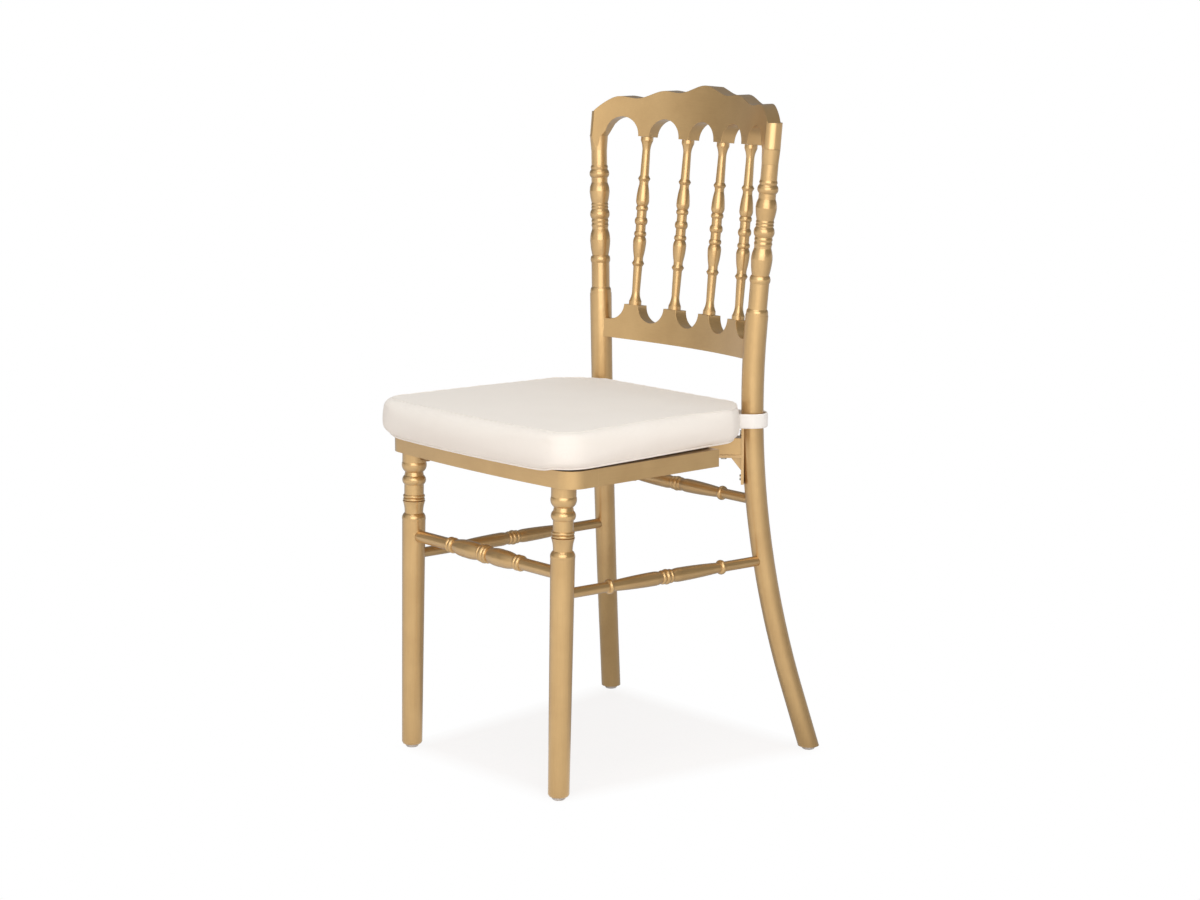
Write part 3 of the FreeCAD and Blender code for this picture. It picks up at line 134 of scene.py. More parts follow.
class Nodes:
    """Shader nodes under construction in a node tree."""

    def __init__(self, tree):
        self.tree = tree

    def node(self, kind, **settings):
        made = self.tree.nodes.new(kind)
        for name, value in settings.items():
            setattr(made, name, value)
        return made

    def feed(self, socket, value):
        """Links an output, or sets a plain value."""
        if isinstance(value, bpy.types.NodeSocket):
            self.tree.links.new(value, socket)
        else:
            socket.default_value = value

    def math(self, operation, first, second=0.0):
        made = self.node("ShaderNodeMath", operation=operation)
        self.feed(made.inputs[0], first)
        self.feed(made.inputs[1], second)
        return made.outputs[0]

    def vectors(self, operation, output, first, second=None):
        made = self.node("ShaderNodeVectorMath", operation=operation)
        self.feed(made.inputs[0], first)
        if second is not None:
            self.feed(made.inputs[1], second)
        return made.outputs[output]

    def spread(self, value, low, high, start=0.0, end=1.0, kind="LINEAR"):
        """Maps start..end of a value to low..high."""
        made = self.node("ShaderNodeMapRange", interpolation_type=kind)
        self.feed(made.inputs["Value"], value)
        made.inputs["From Min"].default_value = start
        made.inputs["From Max"].default_value = end
        made.inputs["To Min"].default_value = low
        made.inputs["To Max"].default_value = high
        return made.outputs["Result"]

    def weighed(self, first, share, second):
        """A share of one value and the rest of another."""
        return self.math("ADD", self.math("MULTIPLY", first, share), self.math("MULTIPLY", second, 1 - share))

    def choose(self, share, first, second):
        """One number where share is 0, another where it is 1."""
        made = self.node("ShaderNodeMix", data_type="FLOAT")
        self.feed(made.inputs[0], share)
        self.feed(made.inputs[2], first)
        self.feed(made.inputs[3], second)
        return made.outputs[0]

    def blend(self, share, first, second):
        """One colour where share is 0, another where it is 1."""
        made = self.node("ShaderNodeMix", data_type="RGBA", blend_type="MIX")
        self.feed(made.inputs[0], share)
        self.feed(made.inputs[6], first)
        self.feed(made.inputs[7], second)
        return made.outputs[2]

    def rays(self):
        """Two switches: seen by the camera or through glass, and seen in gloss."""
        path = self.node("ShaderNodeLightPath").outputs
        direct = self.math("MAXIMUM", path["Is Camera Ray"], path["Is Transmission Ray"])
        return direct, path["Is Glossy Ray"]


class Paint(Nodes):
    """A node material under construction."""

    def __init__(self, name):
        self.material = bpy.data.materials.new(name)
        self.material.use_nodes = True
        super().__init__(self.material.node_tree)
        self.shader = self.tree.nodes["Principled BSDF"]
        coordinates = self.node("ShaderNodeTexCoord")
        self.place = coordinates.outputs["Object"]
        self.facing = coordinates.outputs["Normal"]

    def noise(self, scale, detail=2.0, roughness=0.5):
        """Noise at one scale, or at a scale for each axis."""
        mapping = self.node("ShaderNodeMapping")
        self.feed(mapping.inputs["Vector"], self.place)
        mapping.inputs["Scale"].default_value = scale if isinstance(scale, tuple) else (scale,) * 3
        texture = self.node("ShaderNodeTexNoise")
        self.feed(texture.inputs["Vector"], mapping.outputs["Vector"])
        texture.inputs["Scale"].default_value = 1.0
        texture.inputs["Detail"].default_value = detail
        texture.inputs["Roughness"].default_value = roughness
        return texture.outputs["Fac"]

    def bump(self, height, distance, strength, under=None):
        made = self.node("ShaderNodeBump")
        made.inputs["Strength"].default_value = strength
        made.inputs["Distance"].default_value = distance
        self.feed(made.inputs["Height"], height)
        if under is not None:
            self.feed(made.inputs["Normal"], under)
        return made.outputs["Normal"]

    def crevice(self, distance):
        """0 in a narrow groove, 1 on an open face."""
        made = self.node("ShaderNodeAmbientOcclusion", samples=6)
        made.inputs["Distance"].default_value = distance
        return made.outputs["AO"]

    def rounded(self, radius):
        """Normal that turns over sharp edges as if they were rounded off."""
        made = self.node("ShaderNodeBevel", samples=4)
        made.inputs["Radius"].default_value = radius
        return made.outputs["Normal"]

    def edges(self, turned):
        """1 on a sharp edge, 0 on an open face."""
        straight = self.node("ShaderNodeNewGeometry").outputs["Normal"]
        return self.spread(self.vectors("DOT_PRODUCT", "Value", turned, straight), 1.0, 0.0, 0.8, 0.985)

    def set(self, socket, value):
        self.feed(self.shader.inputs[socket], value)


def tinted(colour, factor):
    """A colour made lighter or darker."""
    return tuple(min(1.0, part * factor) for part in colour[:3]) + (1,)


GRAIN = {"upright": (900, 900, 26), "across": (26, 900, 900), "along": (900, 26, 900)}
GOLD_PALE = (0.69, 0.445, 0.185, 1)
GOLD_DEEP = (0.61, 0.38, 0.15, 1)
EDGE_RADIUS = 0.9 * MM
RUBBED_AND_HIGHLIT = 1.12
GROOVE_REACH = 5 * MM
SHADED = 0.7
COAT_ROUGHNESS = 0.22


def gold_paint(name, grain, pale, deep, metallic=0.8, rough=(0.3, 0.37), sawn=True):
    """Satin gold paint, streaked and mottled; sawn pieces also get paler edges, partly rubbed paint and
    partly a painted highlight, and painted shade in their grooves.
    """
    paint = Paint(name)
    streaks = paint.noise(GRAIN[grain], 3.0, 0.6)
    clouds = paint.noise(22, 3.0)
    flake = paint.noise(2600, 1.0)
    tone = paint.weighed(streaks, 0.35, clouds)
    colour = paint.blend(paint.spread(tone, 0.0, 1.0, 0.34, 0.66), deep, pale)
    under = None
    if sawn:
        under = paint.rounded(EDGE_RADIUS)
        # Sharp edges paler: partly rubbed paint, partly a painted highlight along the edges.
        wear_and_highlight = paint.math("MULTIPLY", paint.edges(under), paint.spread(clouds, 0.0, 0.7, 0.42, 0.6))
        colour = paint.blend(wear_and_highlight, colour, tinted(pale, RUBBED_AND_HIGHLIT))
        # Painted shade: grooves and narrow hollows of sawn pieces are darkened where ambient occlusion finds
        # them.
        painted_groove_shade = paint.spread(paint.crevice(GROOVE_REACH), 0.0, 1.0, 0.2, 0.72)
        colour = paint.blend(painted_groove_shade, tinted(deep, SHADED), colour)
    paint.set("Base Color", colour)
    paint.set("Metallic", metallic)
    paint.set("Roughness", paint.spread(paint.weighed(flake, 0.5, streaks), rough[0], rough[1], 0.3, 0.7))
    paint.set("Coat Weight", 1.0)
    paint.set("Coat Roughness", COAT_ROUGHNESS)
    peel = paint.bump(paint.noise(190, 1.0), 0.03 * MM, 0.25, under)
    paint.set("Normal", paint.bump(streaks, 0.02 * MM, 0.2, peel))
    return paint.material


sawn_gold = {grain: gold_paint(f"sawn_gold_{grain}", grain, GOLD_PALE, GOLD_DEEP)
             for grain in ("across", "along")}
turned_gold = {grain: gold_paint(f"turned_gold_{grain}", grain, GOLD_PALE, GOLD_DEEP, sawn=False)
               for grain in GRAIN}
panel_gold = gold_paint("panel_gold", "across", (0.6, 0.4, 0.18, 1), (0.5, 0.32, 0.138, 1),
                        metallic=0.6, rough=(0.5, 0.64))
bracket_gold = gold_paint("bracket_gold", "upright", (0.68, 0.445, 0.2, 1), (0.6, 0.38, 0.163, 1),
                          metallic=0.85)


def moulded(name, pale, deep, rough):
    """Moulded plastic: slight mottling, a fine pebbled skin and scuffs."""
    paint = Paint(name)
    clouds = paint.noise(60, 3.0)
    pebble = paint.noise(900, 2.0)
    scuff = paint.noise((140, 140, 900), 4.0, 0.7)
    colour = paint.blend(paint.spread(clouds, 0.0, 1.0, 0.35, 0.65), deep, pale)
    scuffed = paint.spread(scuff, 0.0, 0.5, 0.58, 0.75)
    paint.set("Base Color", paint.blend(scuffed, colour, tinted(deep, 0.7)))
    paint.set("Roughness", paint.spread(scuff, rough[0], rough[1], 0.3, 0.7))
    paint.set("Normal", paint.bump(pebble, 0.08 * MM, 0.3))
    return paint.material


glide_plastic = moulded("glide_plastic", (0.66, 0.63, 0.6, 1), (0.55, 0.52, 0.49, 1), (0.45, 0.65))
bumper_plastic = moulded("bumper_plastic", (0.36, 0.22, 0.1, 1), (0.27, 0.16, 0.07, 1), (0.4, 0.6))


def plated_steel():
    """Zinc plate: fine turning marks and a dull bloom."""
    paint = Paint("screw_steel")
    bloom = paint.noise(300, 3.0)
    marks = paint.noise(3000, 2.0)
    paint.set("Base Color", paint.blend(bloom, (0.42, 0.4, 0.36, 1), (0.62, 0.6, 0.55, 1)))
    paint.set("Metallic", 1.0)
    paint.set("Roughness", paint.spread(bloom, 0.28, 0.5, 0.3, 0.7))
    paint.set("Normal", paint.bump(marks, 0.04 * MM, 0.3))
    return paint.material


screw_steel = plated_steel()

# Width of one band of the wave texture at scale 1
WAVE_BAND = 0.314


def woven(name, pale, deep, yarn, depth, sheen, crease=0.0):
    """Plain weave: yarns crossing at right angles on every face, slubs, painted shade between the yarns and a
    little sheen.
    """
    paint = Paint(name)
    facing = paint.node("ShaderNodeSeparateXYZ")
    paint.feed(facing.inputs[0], paint.facing)
    weave = 0.0
    for axis in "XYZ":
        wave = paint.node("ShaderNodeTexWave", wave_type="BANDS", bands_direction=axis,
                          wave_profile="SIN")
        paint.feed(wave.inputs["Vector"], paint.place)
        wave.inputs["Scale"].default_value = WAVE_BAND / yarn
        wave.inputs["Distortion"].default_value = 0.6
        wave.inputs["Detail"].default_value = 1.0
        wave.inputs["Detail Scale"].default_value = 0.4
        head_on = paint.math("MULTIPLY", facing.outputs[axis], facing.outputs[axis])
        seen = paint.spread(head_on, 1.0, 0.0, 0.5, 0.9)
        weave = paint.math("ADD", paint.math("MULTIPLY", wave.outputs["Fac"], seen), weave)
    slub = paint.noise(420, 3.0, 0.6)
    clouds = paint.noise(16, 3.0)
    tone = paint.weighed(clouds, 0.6, slub)
    colour = paint.blend(paint.spread(tone, 0.0, 1.0, 0.3, 0.7), deep, pale)
    # Painted shade: the hollows between the yarns are darkened.
    weave_shade_mask = paint.spread(weave, 0.0, 1.0, 0.1, 1.1)
    paint.set("Base Color", paint.blend(weave_shade_mask, tinted(deep, 0.9), colour))
    paint.set("Roughness", paint.spread(slub, 0.74, 0.9, 0.3, 0.7))
    paint.set("Specular IOR Level", 0.2)
    paint.set("Sheen Weight", sheen)
    paint.set("Sheen Roughness", 0.5)
    relief = paint.bump(weave, depth, 0.4)
    if crease:
        folds = paint.noise((24, 40, 24), 2.0, 0.4)
        relief = paint.bump(folds, crease, 0.5, relief)
    paint.set("Normal", relief)
    return paint.material


COVER_PALE = (0.87, 0.82, 0.76, 1)
COVER_DEEP = (0.84, 0.785, 0.72, 1)
cover_cloth = woven("cover_cloth", COVER_PALE, COVER_DEEP,
                    yarn=0.9 * MM, depth=0.03 * MM, sheen=0.12, crease=0.4 * MM)
piping_cloth = woven("piping_cloth", COVER_PALE, COVER_DEEP,
                     yarn=0.8 * MM, depth=0.03 * MM, sheen=0.1)
strap_cloth = woven("strap_cloth", (0.88, 0.855, 0.82, 1), (0.84, 0.81, 0.77, 1),
                    yarn=1.3 * MM, depth=0.12 * MM, sheen=0.1)


# The chair's own pieces keep their shapes; each gets its finish.

SAWN = {
    "across": ("crest_rail", "lower_back_rail", "seat_front_rail", "seat_rear_board"),
    "along": ("seat_side_rail_left", "seat_side_rail_right"),
}
TURNED = {
    "upright": ("front_leg_left", "front_leg_right", "rear_post_left", "rear_post_right",
                "spindle_outer_left", "spindle_inner_left",
                "spindle_inner_right", "spindle_outer_right"),
    "across": ("front_stretcher", "rear_stretcher"),
    "along": ("side_stretcher_left", "side_stretcher_right"),
}


def dress(node, material):
    mesh = NODES[node].data
    mesh.materials.clear()
    mesh.materials.append(material)


for finish, pieces in ((sawn_gold, SAWN), (turned_gold, TURNED)):
    for grain, nodes in pieces.items():
        for node in nodes:
            dress(node, finish[grain])
dress("seat_panel", panel_gold)
dress("bracket_screws", screw_steel)
for side in ("left", "right"):
    dress(f"rear_bracket_{side}", bracket_gold)
    dress(f"stacking_bumper_{side}", bumper_plastic)
    for end in ("front", "rear"):
        dress(f"glide_{end}_{side}", glide_plastic)


# Cushion: a boxed cover of two panels and a band, sewn at two seams and blown up a little.
# A pair of numbers gives where a change along y, x or z starts and ends.

QUARTER = 60
AROUND = 4 * QUARTER
WALL_ROWS = 7
RIM_ROWS = 6
BAND_ROWS = WALL_ROWS + RIM_ROWS
CUSHION_LOW, CUSHION_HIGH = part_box("cushion_cover")
UNDERSIDE = CUSHION_LOW.z
CENTRE = (CUSHION_LOW + CUSHION_HIGH) / 2
SEAT_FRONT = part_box("seat_front_rail")[0].y
LOWER_SEAM = 4.0 * MM
MID_WALL = 22 * MM
RIM_START = 38.0 * MM
TOP_EDGE = 50.6 * MM
FRONT_RIM = 12.6 * MM
REAR_RIM = 3.0 * MM
RIM_CHANGE = (-0.02, 0.11)
CROWN = 1.6 * MM
REAR_DROP = 0.055
DROP_CHANGE = (-0.06, 0.135)
FRONT_DROOP = 4.2 * MM
DROOP_FORWARD = (1 * MM, 8 * MM)
DROOP_HEIGHT = (2 * MM, 26 * MM)
DROOP_SIDES = (0.15, 0.195)
PANEL_RISE = 3.2 * MM
BAND_RISE = 3.4 * MM
REAR_TIGHTER = 0.8
TIGHT_CHANGE = (0.0, 0.12)


def outer_tree():
    mesh = NODES["cushion_cover"].data
    return BVHTree.FromPolygons([vertex.co for vertex in mesh.vertices],
                                [tuple(face.vertices) for face in mesh.polygons])


def edge_at(tree, angle, height):
    """Outer edge of the solid cushion at an angle round its middle and a height above its underside."""
    ray = Vector((math.cos(angle), math.sin(angle), 0))
    start = Vector((CENTRE.x, CENTRE.y, UNDERSIDE + height)) + ray
    return tree.ray_cast(start, -ray)[0]


def even_angles(tree):
    """Angles whose edge points are evenly spaced round the cushion, from the front right corner on."""
    start = math.radians(-135)
    count = 1440
    angles = [start + 2 * math.pi * step / count for step in range(count + 1)]
    edge = [edge_at(tree, angle, MID_WALL) for angle in angles]
    run = [0.0]
    for before, after in zip(edge, edge[1:]):
        run.append(run[-1] + (after - before).length)
    found = []
    spot = 0
    for step in range(AROUND):
        goal = run[-1] * step / AROUND
        while run[spot + 1] < goal:
            spot += 1
        part = (goal - run[spot]) / (run[spot + 1] - run[spot])
        found.append(angles[spot] + (angles[spot + 1] - angles[spot]) * part)
    return found


def rolled_rim(ring):
    """Rings that turn over from the top of the wall to the upper seam, in a fuller roll at the front."""
    inward = []
    for step in range(AROUND):
        along = ring[(step + 1) % AROUND] - ring[step - 1]
        inward.append(UP.cross(along).normalized())
    rings = []
    for row in range(1, RIM_ROWS + 1):
        turn = math.pi / 2 * row / RIM_ROWS
        turned = []
        for place, way in zip(ring, inward):
            size = FRONT_RIM + (REAR_RIM - FRONT_RIM) * smooth(*RIM_CHANGE, place.y)
            lift = (TOP_EDGE - RIM_START - size) * row / RIM_ROWS
            turned.append(place + way * (size * (1 - math.cos(turn))) + UP * (lift + size * math.sin(turn)))
        rings.append(turned)
    return rings


def cushion_band():
    """Rings of places from the lower seam up the wall and over the rim to the upper seam."""
    tree = outer_tree()
    angles = even_angles(tree)
    heights = [LOWER_SEAM + (RIM_START - LOWER_SEAM) * row / WALL_ROWS for row in range(WALL_ROWS + 1)]
    wall = [[edge_at(tree, angle, height) for angle in angles] for height in heights]
    return wall + rolled_rim(wall[-1])


def ring_place(ring, position):
    """Place on a ring at a fractional step round it."""
    lower = int(math.floor(position)) % AROUND
    part = position - math.floor(position)
    return ring[lower].lerp(ring[(lower + 1) % AROUND], part)


def panel(ring, height_at):
    """Square grid of places that fills a ring; the outermost rows keep close together."""
    half = QUARTER / 2
    tiny = 1e-9
    crowding = 1.3
    middle = Vector((CENTRE.x, CENTRE.y, 0))
    rows = []
    for j in range(QUARTER + 1):
        row = []
        for i in range(QUARTER + 1):
            u, v = i / half - 1, j / half - 1
            reach = max(abs(u), abs(v))
            if reach < tiny:
                row.append(Vector((middle.x, middle.y, height_at(0.0, ring[0].z))))
                continue
            u, v = u / reach, v / reach
            if v <= -1 + tiny:
                position = (u + 1) * half
            elif u >= 1 - tiny:
                position = QUARTER + (v + 1) * half
            elif v >= 1 - tiny:
                position = 2 * QUARTER + (1 - u) * half
            else:
                position = 3 * QUARTER + (1 - v) * half
            rim = ring_place(ring, position % AROUND)
            share = 1 - (1 - reach) ** crowding
            flat = middle.lerp(Vector((rim.x, rim.y, 0)), share)
            row.append(Vector((flat.x, flat.y, height_at(share, rim.z))))
        rows.append(row)
    return rows


def top_height(share, rim):
    return rim + CROWN * (1 - share ** 4)


def under_height(share, rim):
    return UNDERSIDE + (rim - UNDERSIDE) * smooth(0.95, 1.0, share)


def settle(point):
    """Rear of the cushion sits lower than its front."""
    drop = REAR_DROP * smooth(*DROP_CHANGE, point.y)
    return Vector((point.x, point.y, UNDERSIDE + (point.z - UNDERSIDE) * (1 - drop)))


def droop(point):
    """Front rim hangs a little below the seat's top edge."""
    forward = smooth(*DROOP_FORWARD, SEAT_FRONT - point.y)
    low = 1 - smooth(*DROOP_HEIGHT, point.z - UNDERSIDE)
    inside = 1 - smooth(*DROOP_SIDES, abs(point.x))
    return point - UP * (FRONT_DROOP * forward * low * inside)


def cushion_mesh():
    """Places and faces: the band's rings, then the insides of the upper and the lower panel."""
    band = cushion_band()
    places = [point for ring in band for point in ring]
    faces = []
    for row in range(BAND_ROWS):
        for step in range(AROUND):
            after = (step + 1) % AROUND
            low, high = row * AROUND, (row + 1) * AROUND
            faces.append((low + step, low + after, high + after, high + step))
    for ring, first, height_at, upward in ((band[-1], BAND_ROWS * AROUND, top_height, True),
                                           (band[0], 0, under_height, False)):
        grid = panel(ring, height_at)
        numbers = []
        for j in range(QUARTER + 1):
            line = []
            for i in range(QUARTER + 1):
                if j == 0:
                    line.append(first + i)
                elif i == QUARTER:
                    line.append(first + QUARTER + j)
                elif j == QUARTER:
                    line.append(first + 2 * QUARTER + (QUARTER - i))
                elif i == 0:
                    line.append(first + 3 * QUARTER + (QUARTER - j))
                else:
                    line.append(len(places))
                    places.append(grid[j][i])
            numbers.append(line)
        for j in range(QUARTER):
            for i in range(QUARTER):
                face = (numbers[j][i], numbers[j][i + 1], numbers[j + 1][i + 1], numbers[j + 1][i])
                faces.append(face if upward else tuple(reversed(face)))
    return [droop(settle(place)) for place in places], faces


# Where the upper seam's ring and the two panels' insides start in the list of places
UPPER_START = BAND_ROWS * AROUND
TOP_START = (BAND_ROWS + 1) * AROUND
UNDER_START = TOP_START + (QUARTER - 1) ** 2

CLOTH = {
    "quality": 6,
    "mass": 0.15,
    "tension_stiffness": 12,
    "compression_stiffness": 12,
    "shear_stiffness": 6,
    "bending_stiffness": 0.6,
    "use_pressure": True,
    "uniform_pressure_force": 4,
    "vertex_group_mass": "sewn",
}
CLOTH_FRAMES = 20


def blow_up(piece, places):
    """Cloth under light pressure, held at both seams and below; panel and band swell by set amounts."""
    held = piece.vertex_groups.new(name="sewn")
    held.add(list(range(AROUND)), 1.0, "REPLACE")
    held.add(list(range(UPPER_START, UPPER_START + AROUND)), 1.0, "REPLACE")
    held.add(list(range(UNDER_START, len(places))), 1.0, "REPLACE")
    cloth = piece.modifiers.new("cloth", "CLOTH")
    for setting, value in CLOTH.items():
        setattr(cloth.settings, setting, value)
    cloth.settings.effector_weights.gravity = 0
    cloth.collision_settings.use_collision = False
    scene = bpy.context.scene
    for step in range(1, CLOTH_FRAMES + 1):
        scene.frame_set(step)
    shown = piece.evaluated_get(bpy.context.evaluated_depsgraph_get())
    moved = [vertex.co - place for vertex, place in zip(shown.data.vertices, places)]
    piece.modifiers.remove(cloth)
    piece.vertex_groups.clear()
    scene.frame_set(1)
    for start, end, most in ((0, TOP_START, BAND_RISE), (TOP_START, UNDER_START, PANEL_RISE)):
        widest = max(step.length for step in moved[start:end])
        for number in range(start, end):
            place = places[number]
            in_band = number < TOP_START
            slack = 1 - REAR_TIGHTER * smooth(*TIGHT_CHANGE, place.y) if in_band else 1.0
            piece.data.vertices[number].co = place + moved[number] * (most / widest * slack)


GATHER_DEPTH = 0.5 * MM
FOLD_DEPTH = 0.35 * MM
HOLLOW_DEPTH = 0.6 * MM


def pucker(piece):
    """Gathers along both seams, long slack folds in the band and a few soft hollows on top."""
    piece.data.update()
    normals = [vertex.normal.copy() for vertex in piece.data.vertices]
    for number in range(UNDER_START):
        vertex = piece.data.vertices[number]
        place = vertex.co
        if number < TOP_START:
            row = number // AROUND
            run = math.atan2(place.y - CENTRE.y, place.x - CENTRE.x)
            gather = math.sin(61 * run + 1.7 * math.sin(7 * run)) * math.sin(23 * run + 0.8)
            near_top = max(0.0, 1 - abs(row - BAND_ROWS + 1) / 4)
            near_bottom = 0.6 * max(0.0, 1 - abs(row - 2) / 3)
            height = (place.z - UNDERSIDE) / TOP_EDGE
            fold = math.sin(9 * height + 2.2 * math.sin(3 * run + 0.5) + 0.6)
            fold *= math.sin(math.pi * min(1.0, height))
            rise = GATHER_DEPTH * gather * (near_top + near_bottom) + FOLD_DEPTH * fold
        else:
            hollow = math.sin(26 * place.x + 9 * place.y) * math.sin(21 * place.y - 7 * place.x + 1)
            rise = HOLLOW_DEPTH * hollow
        vertex.co = place + normals[number] * rise


places, faces = cushion_mesh()
cushion = mesh_object("cushion_boxed_cover", places, faces)
blow_up(cushion, places)
pucker(cushion)
cushion.data.materials.append(cover_cloth)
refine = cushion.modifiers.new("refine", "SUBSURF")
refine.levels = 1
refine.render_levels = 1
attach(cushion, "cushion")
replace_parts(cushion, "cushion_cover", "cushion_foam")


def seam_path(first):
    """Stops along a sewn ring, with the directions out of the cushion and up."""
    ring = [cushion.data.vertices[first + step].co.copy() for step in range(AROUND)]
    path = []
    for step in range(AROUND):
        along = (ring[(step + 1) % AROUND] - ring[step - 1]).normalized()
        out = along.cross(UP).normalized()
        path.append((ring[step], out, out.cross(along).normalized()))
    return path


def round_section(across, up):
    corners = 8
    turns = [2 * math.pi * corner / corners for corner in range(corners)]
    return [(across * math.cos(turn), up * math.sin(turn)) for turn in turns]


def piping(name, first, across, up, lift):
    """A round cord of cloth along a sewn ring."""
    path = [(place + out * lift, out, rise) for place, out, rise in seam_path(first)]
    points, skin = tube_rings(path, round_section(across, up), True)
    piece = mesh_object(name, points, skin)
    piece.data.materials.append(piping_cloth)
    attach(piece, "cushion")


piping("cushion_upper_seam", UPPER_START, across=0.9 * MM, up=0.7 * MM, lift=0.0)
piping("cushion_lower_piping", 0, across=1.3 * MM, up=1.2 * MM, lift=0.3 * MM)


# Straps: a webbing band from each rear corner of the cushion round the post and back

STRAP_LOW, STRAP_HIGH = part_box("cushion_strap_left")
STRAP_OUTER = 21 * MM
STRAP_RADIUS = 19.8 * MM
STRAP_RAISED = 3 * MM
STRAP_SITE = Vector((STRAP_HIGH.x - STRAP_OUTER, STRAP_HIGH.y - STRAP_OUTER,
                     (STRAP_LOW.z + STRAP_HIGH.z) / 2 + STRAP_RAISED))
STRAP_TURN = math.radians(44.5)
STRAP_REACH = 41 * MM
STRAP_HALF = 10 * MM
STRAP_SKIN = 1.15 * MM
STRAP_RIPPLE = 0.35 * MM


def strap_section():
    """Flat webbing with rounded edges."""
    corners = 16
    outline = []
    for corner in range(corners):
        turn = 2 * math.pi * (corner + 0.5) / corners
        across = math.copysign(abs(math.cos(turn)) ** 0.7, math.cos(turn)) * STRAP_SKIN
        up = math.copysign(abs(math.sin(turn)) ** 0.35, math.sin(turn)) * STRAP_HALF
        outline.append((across, up))
    return outline


def strap(name, side):
    """Webbing from the cushion round a post; side is 1 on the left and -1 on the right."""
    inward = Vector((-math.cos(STRAP_TURN) * side, -math.sin(STRAP_TURN), 0))
    sideways = UP.cross(inward)
    site = Vector((STRAP_SITE.x * side, STRAP_SITE.y, STRAP_SITE.z))
    stops = []
    legs = 12
    for k in range(legs):
        stops.append((STRAP_REACH * (1 - k / legs), -STRAP_RADIUS, -sideways))
    turns = 36
    for k in range(turns + 1):
        angle = math.pi * k / turns
        stops.append((-STRAP_RADIUS * math.sin(angle), -STRAP_RADIUS * math.cos(angle),
                      -inward * math.sin(angle) - sideways * math.cos(angle)))
    for k in range(1, legs + 1):
        stops.append((STRAP_REACH * k / legs, STRAP_RADIUS, sideways))
    path = []
    for number, (ahead, aside, out) in enumerate(stops):
        ripple = STRAP_RIPPLE * math.sin(number * 0.55) * math.sin(number * 0.17 + 0.6)
        place = site + inward * ahead + sideways * aside + out * ripple
        path.append((place, out, UP))
    points, skin = tube_rings(path, strap_section(), False)
    piece = mesh_object(name, points, skin)
    piece.data.materials.append(strap_cloth)
    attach(piece, "cushion")
    return piece


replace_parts(strap("strap_webbing_left", 1), "cushion_strap_left")
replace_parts(strap("strap_webbing_right", -1), "cushion_strap_right")


# Stage: pale floor, white surroundings and three soft lamps


def foot(end):
    """Middle of a foot on the +X side."""
    low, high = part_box(f"glide_{end}_left")
    return (low + high) / 2


FRONT_FOOT = foot("front")
REAR_FOOT = foot("rear")
SHADOW_KEPT = 0.22
FLOOR_HALF = 9.0
FLOOR_FRONT = 25


def floor_material():
    """White to the eye, with the shadow faintly kept between the feet; to gloss it glows, whitest in front,
    with painted shade near the chair and behind it.
    """
    paint = Paint("floor")
    paint.tree.nodes.remove(paint.shader)
    direct, to_gloss = paint.rays()
    spot = paint.node("ShaderNodeSeparateXYZ")
    paint.feed(spot.inputs[0], paint.place)
    half_width = paint.spread(spot.outputs["Y"], FRONT_FOOT.x, REAR_FOOT.x, FRONT_FOOT.y, REAR_FOOT.y)
    beside = paint.math("DIVIDE", paint.math("ABSOLUTE", spot.outputs["X"]), half_width)
    half_depth = (REAR_FOOT.y - FRONT_FOOT.y) / 2
    from_middle = paint.math("SUBTRACT", spot.outputs["Y"], (REAR_FOOT.y + FRONT_FOOT.y) / 2)
    ahead = paint.math("DIVIDE", paint.math("ABSOLUTE", from_middle), half_depth)
    between_feet = paint.math("MULTIPLY", paint.spread(beside, 1.0, 0.0, 0.88, 1.15),
                              paint.spread(ahead, 1.0, 0.0, 0.9, 1.13))
    to_eye = paint.math("MULTIPLY", direct, paint.spread(between_feet, 1.0, 1 - SHADOW_KEPT))
    # To gloss the floor glows, weaker near the chair and behind it: a painted shade in its reflections.
    away = paint.vectors("LENGTH", "Value", paint.place)
    outward = paint.vectors("NORMALIZE", "Vector", paint.place)
    forward = paint.vectors("DOT_PRODUCT", "Value", outward, direction(FLOOR_FRONT, 0))
    glossy_glow_painted_shade = paint.math("MULTIPLY", paint.spread(away, 0.8, 1.0, 0.2, 1.0),
                     paint.spread(forward, 0.45, 1.0, -0.5, 0.7))
    grain = paint.noise(30, 3.0)
    diffuse = paint.node("ShaderNodeBsdfDiffuse")
    colour = paint.blend(grain, (0.91, 0.85, 0.825, 1), (0.94, 0.88, 0.855, 1))
    paint.feed(diffuse.inputs["Color"], colour)
    glow = paint.node("ShaderNodeEmission")
    glow.inputs["Color"].default_value = WHITE
    paint.feed(glow.inputs["Strength"], paint.math("MAXIMUM", direct, glossy_glow_painted_shade))
    mixed = paint.node("ShaderNodeMixShader")
    paint.feed(mixed.inputs[0], paint.math("MAXIMUM", to_eye, to_gloss))
    paint.feed(mixed.inputs[1], diffuse.outputs[0])
    paint.feed(mixed.inputs[2], glow.outputs[0])
    paint.feed(paint.tree.nodes["Material Output"].inputs["Surface"], mixed.outputs[0])
    return paint.material


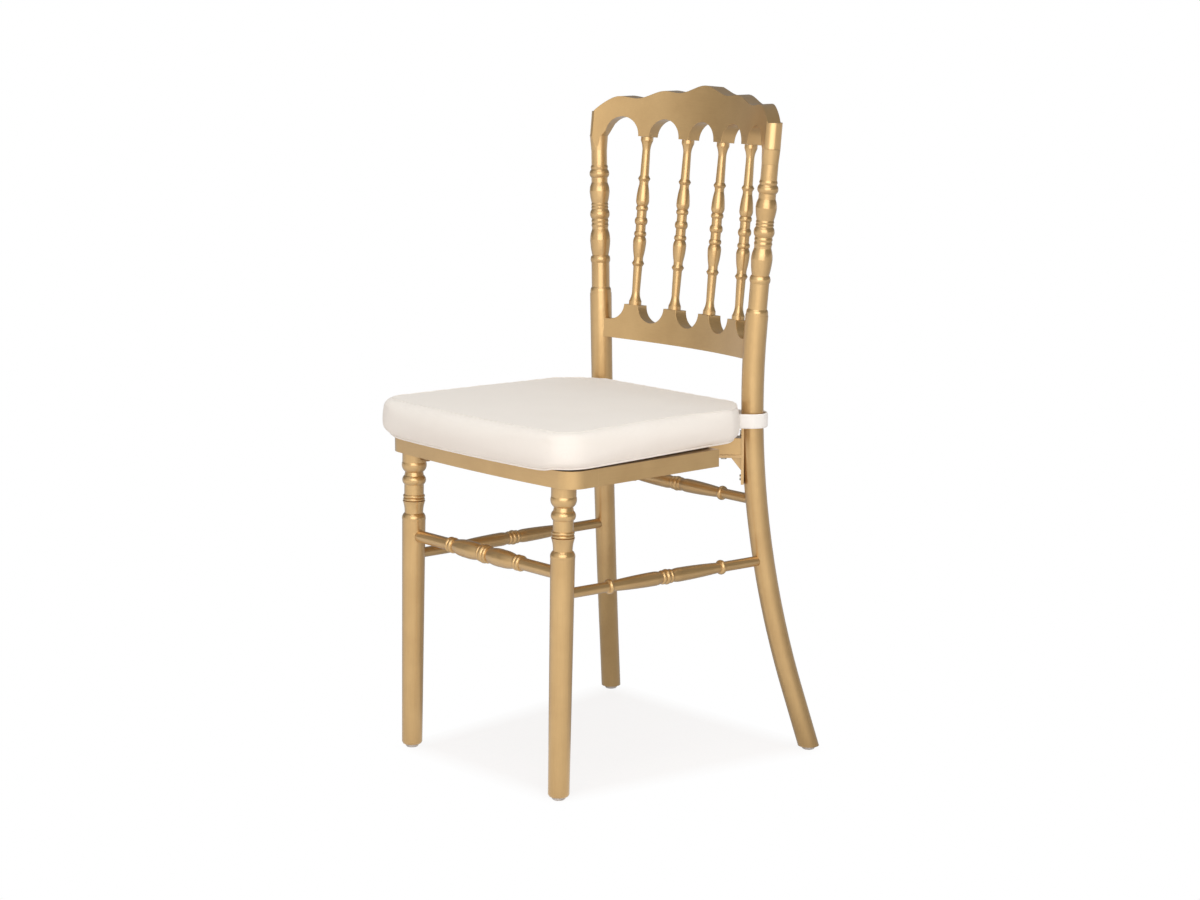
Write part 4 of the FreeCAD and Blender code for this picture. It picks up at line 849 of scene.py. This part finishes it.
floor = mesh_object("floor", [(-FLOOR_HALF, -FLOOR_HALF, 0), (FLOOR_HALF, -FLOOR_HALF, 0),
                              (FLOOR_HALF, FLOOR_HALF, 0), (-FLOOR_HALF, FLOOR_HALF, 0)], [(0, 1, 2, 3)])
floor.data.materials.append(floor_material())

SOFT_LEVEL = 0.62
GLOSS_ROOM = 0.2
GLOSS_FRONT = 0.8
GLOSS_ABOVE = 0.7
GLOSS_HORIZON = 1.0


def surroundings():
    """White to the eye, even to matt faces; to gloss bright in front, above and at the horizon only."""
    world = bpy.data.worlds.new("studio")
    bpy.context.scene.world = world
    world.use_nodes = True
    sky = Nodes(world.node_tree)
    place = sky.node("ShaderNodeTexCoord").outputs["Generated"]

    def patch(way, start, end, level):
        """A soft patch of brightness round a direction."""
        along = sky.vectors("DOT_PRODUCT", "Value", place, way)
        return sky.spread(along, GLOSS_ROOM, level, start, end, "SMOOTHSTEP")

    horizon = patch((0, 0, -1), -0.01, 0.03, GLOSS_HORIZON)
    front = patch(direction(15, 20), 0.3, 0.95, GLOSS_FRONT)
    above = patch((0, 0, 1), 0.84, 0.96, GLOSS_ABOVE)
    brightest = sky.math("MAXIMUM", sky.math("MAXIMUM", horizon, above), front)
    direct, to_gloss = sky.rays()
    soft = sky.choose(to_gloss, SOFT_LEVEL, brightest)
    background = sky.tree.nodes["Background"]
    background.inputs["Color"].default_value = WHITE
    sky.feed(background.inputs["Strength"], sky.choose(direct, soft, 1.0))


surroundings()

LAMP_TARGET = Vector((0, 0, 0.45))


def lamp(name, azimuth, elevation, distance, width, height, power, colour=(1, 1, 1)):
    data = bpy.data.lights.new(name, "AREA")
    data.shape = "RECTANGLE"
    data.size = width
    data.size_y = height
    data.energy = power
    data.color = colour
    made = new_object(name, data)
    aim(made, LAMP_TARGET, azimuth, elevation, distance)
    return made


lamp("front_softbox", azimuth=50, elevation=22, distance=2.9, width=3.2, height=2.0, power=41,
     colour=(1.0, 0.985, 0.96))
lamp("top_softbox", azimuth=45, elevation=68, distance=2.6, width=1.6, height=1.2, power=12)
rear_fill = lamp("rear_fill", azimuth=215, elevation=28, distance=3.2, width=2.4, height=1.6, power=9)
rear_fill.visible_glossy = False
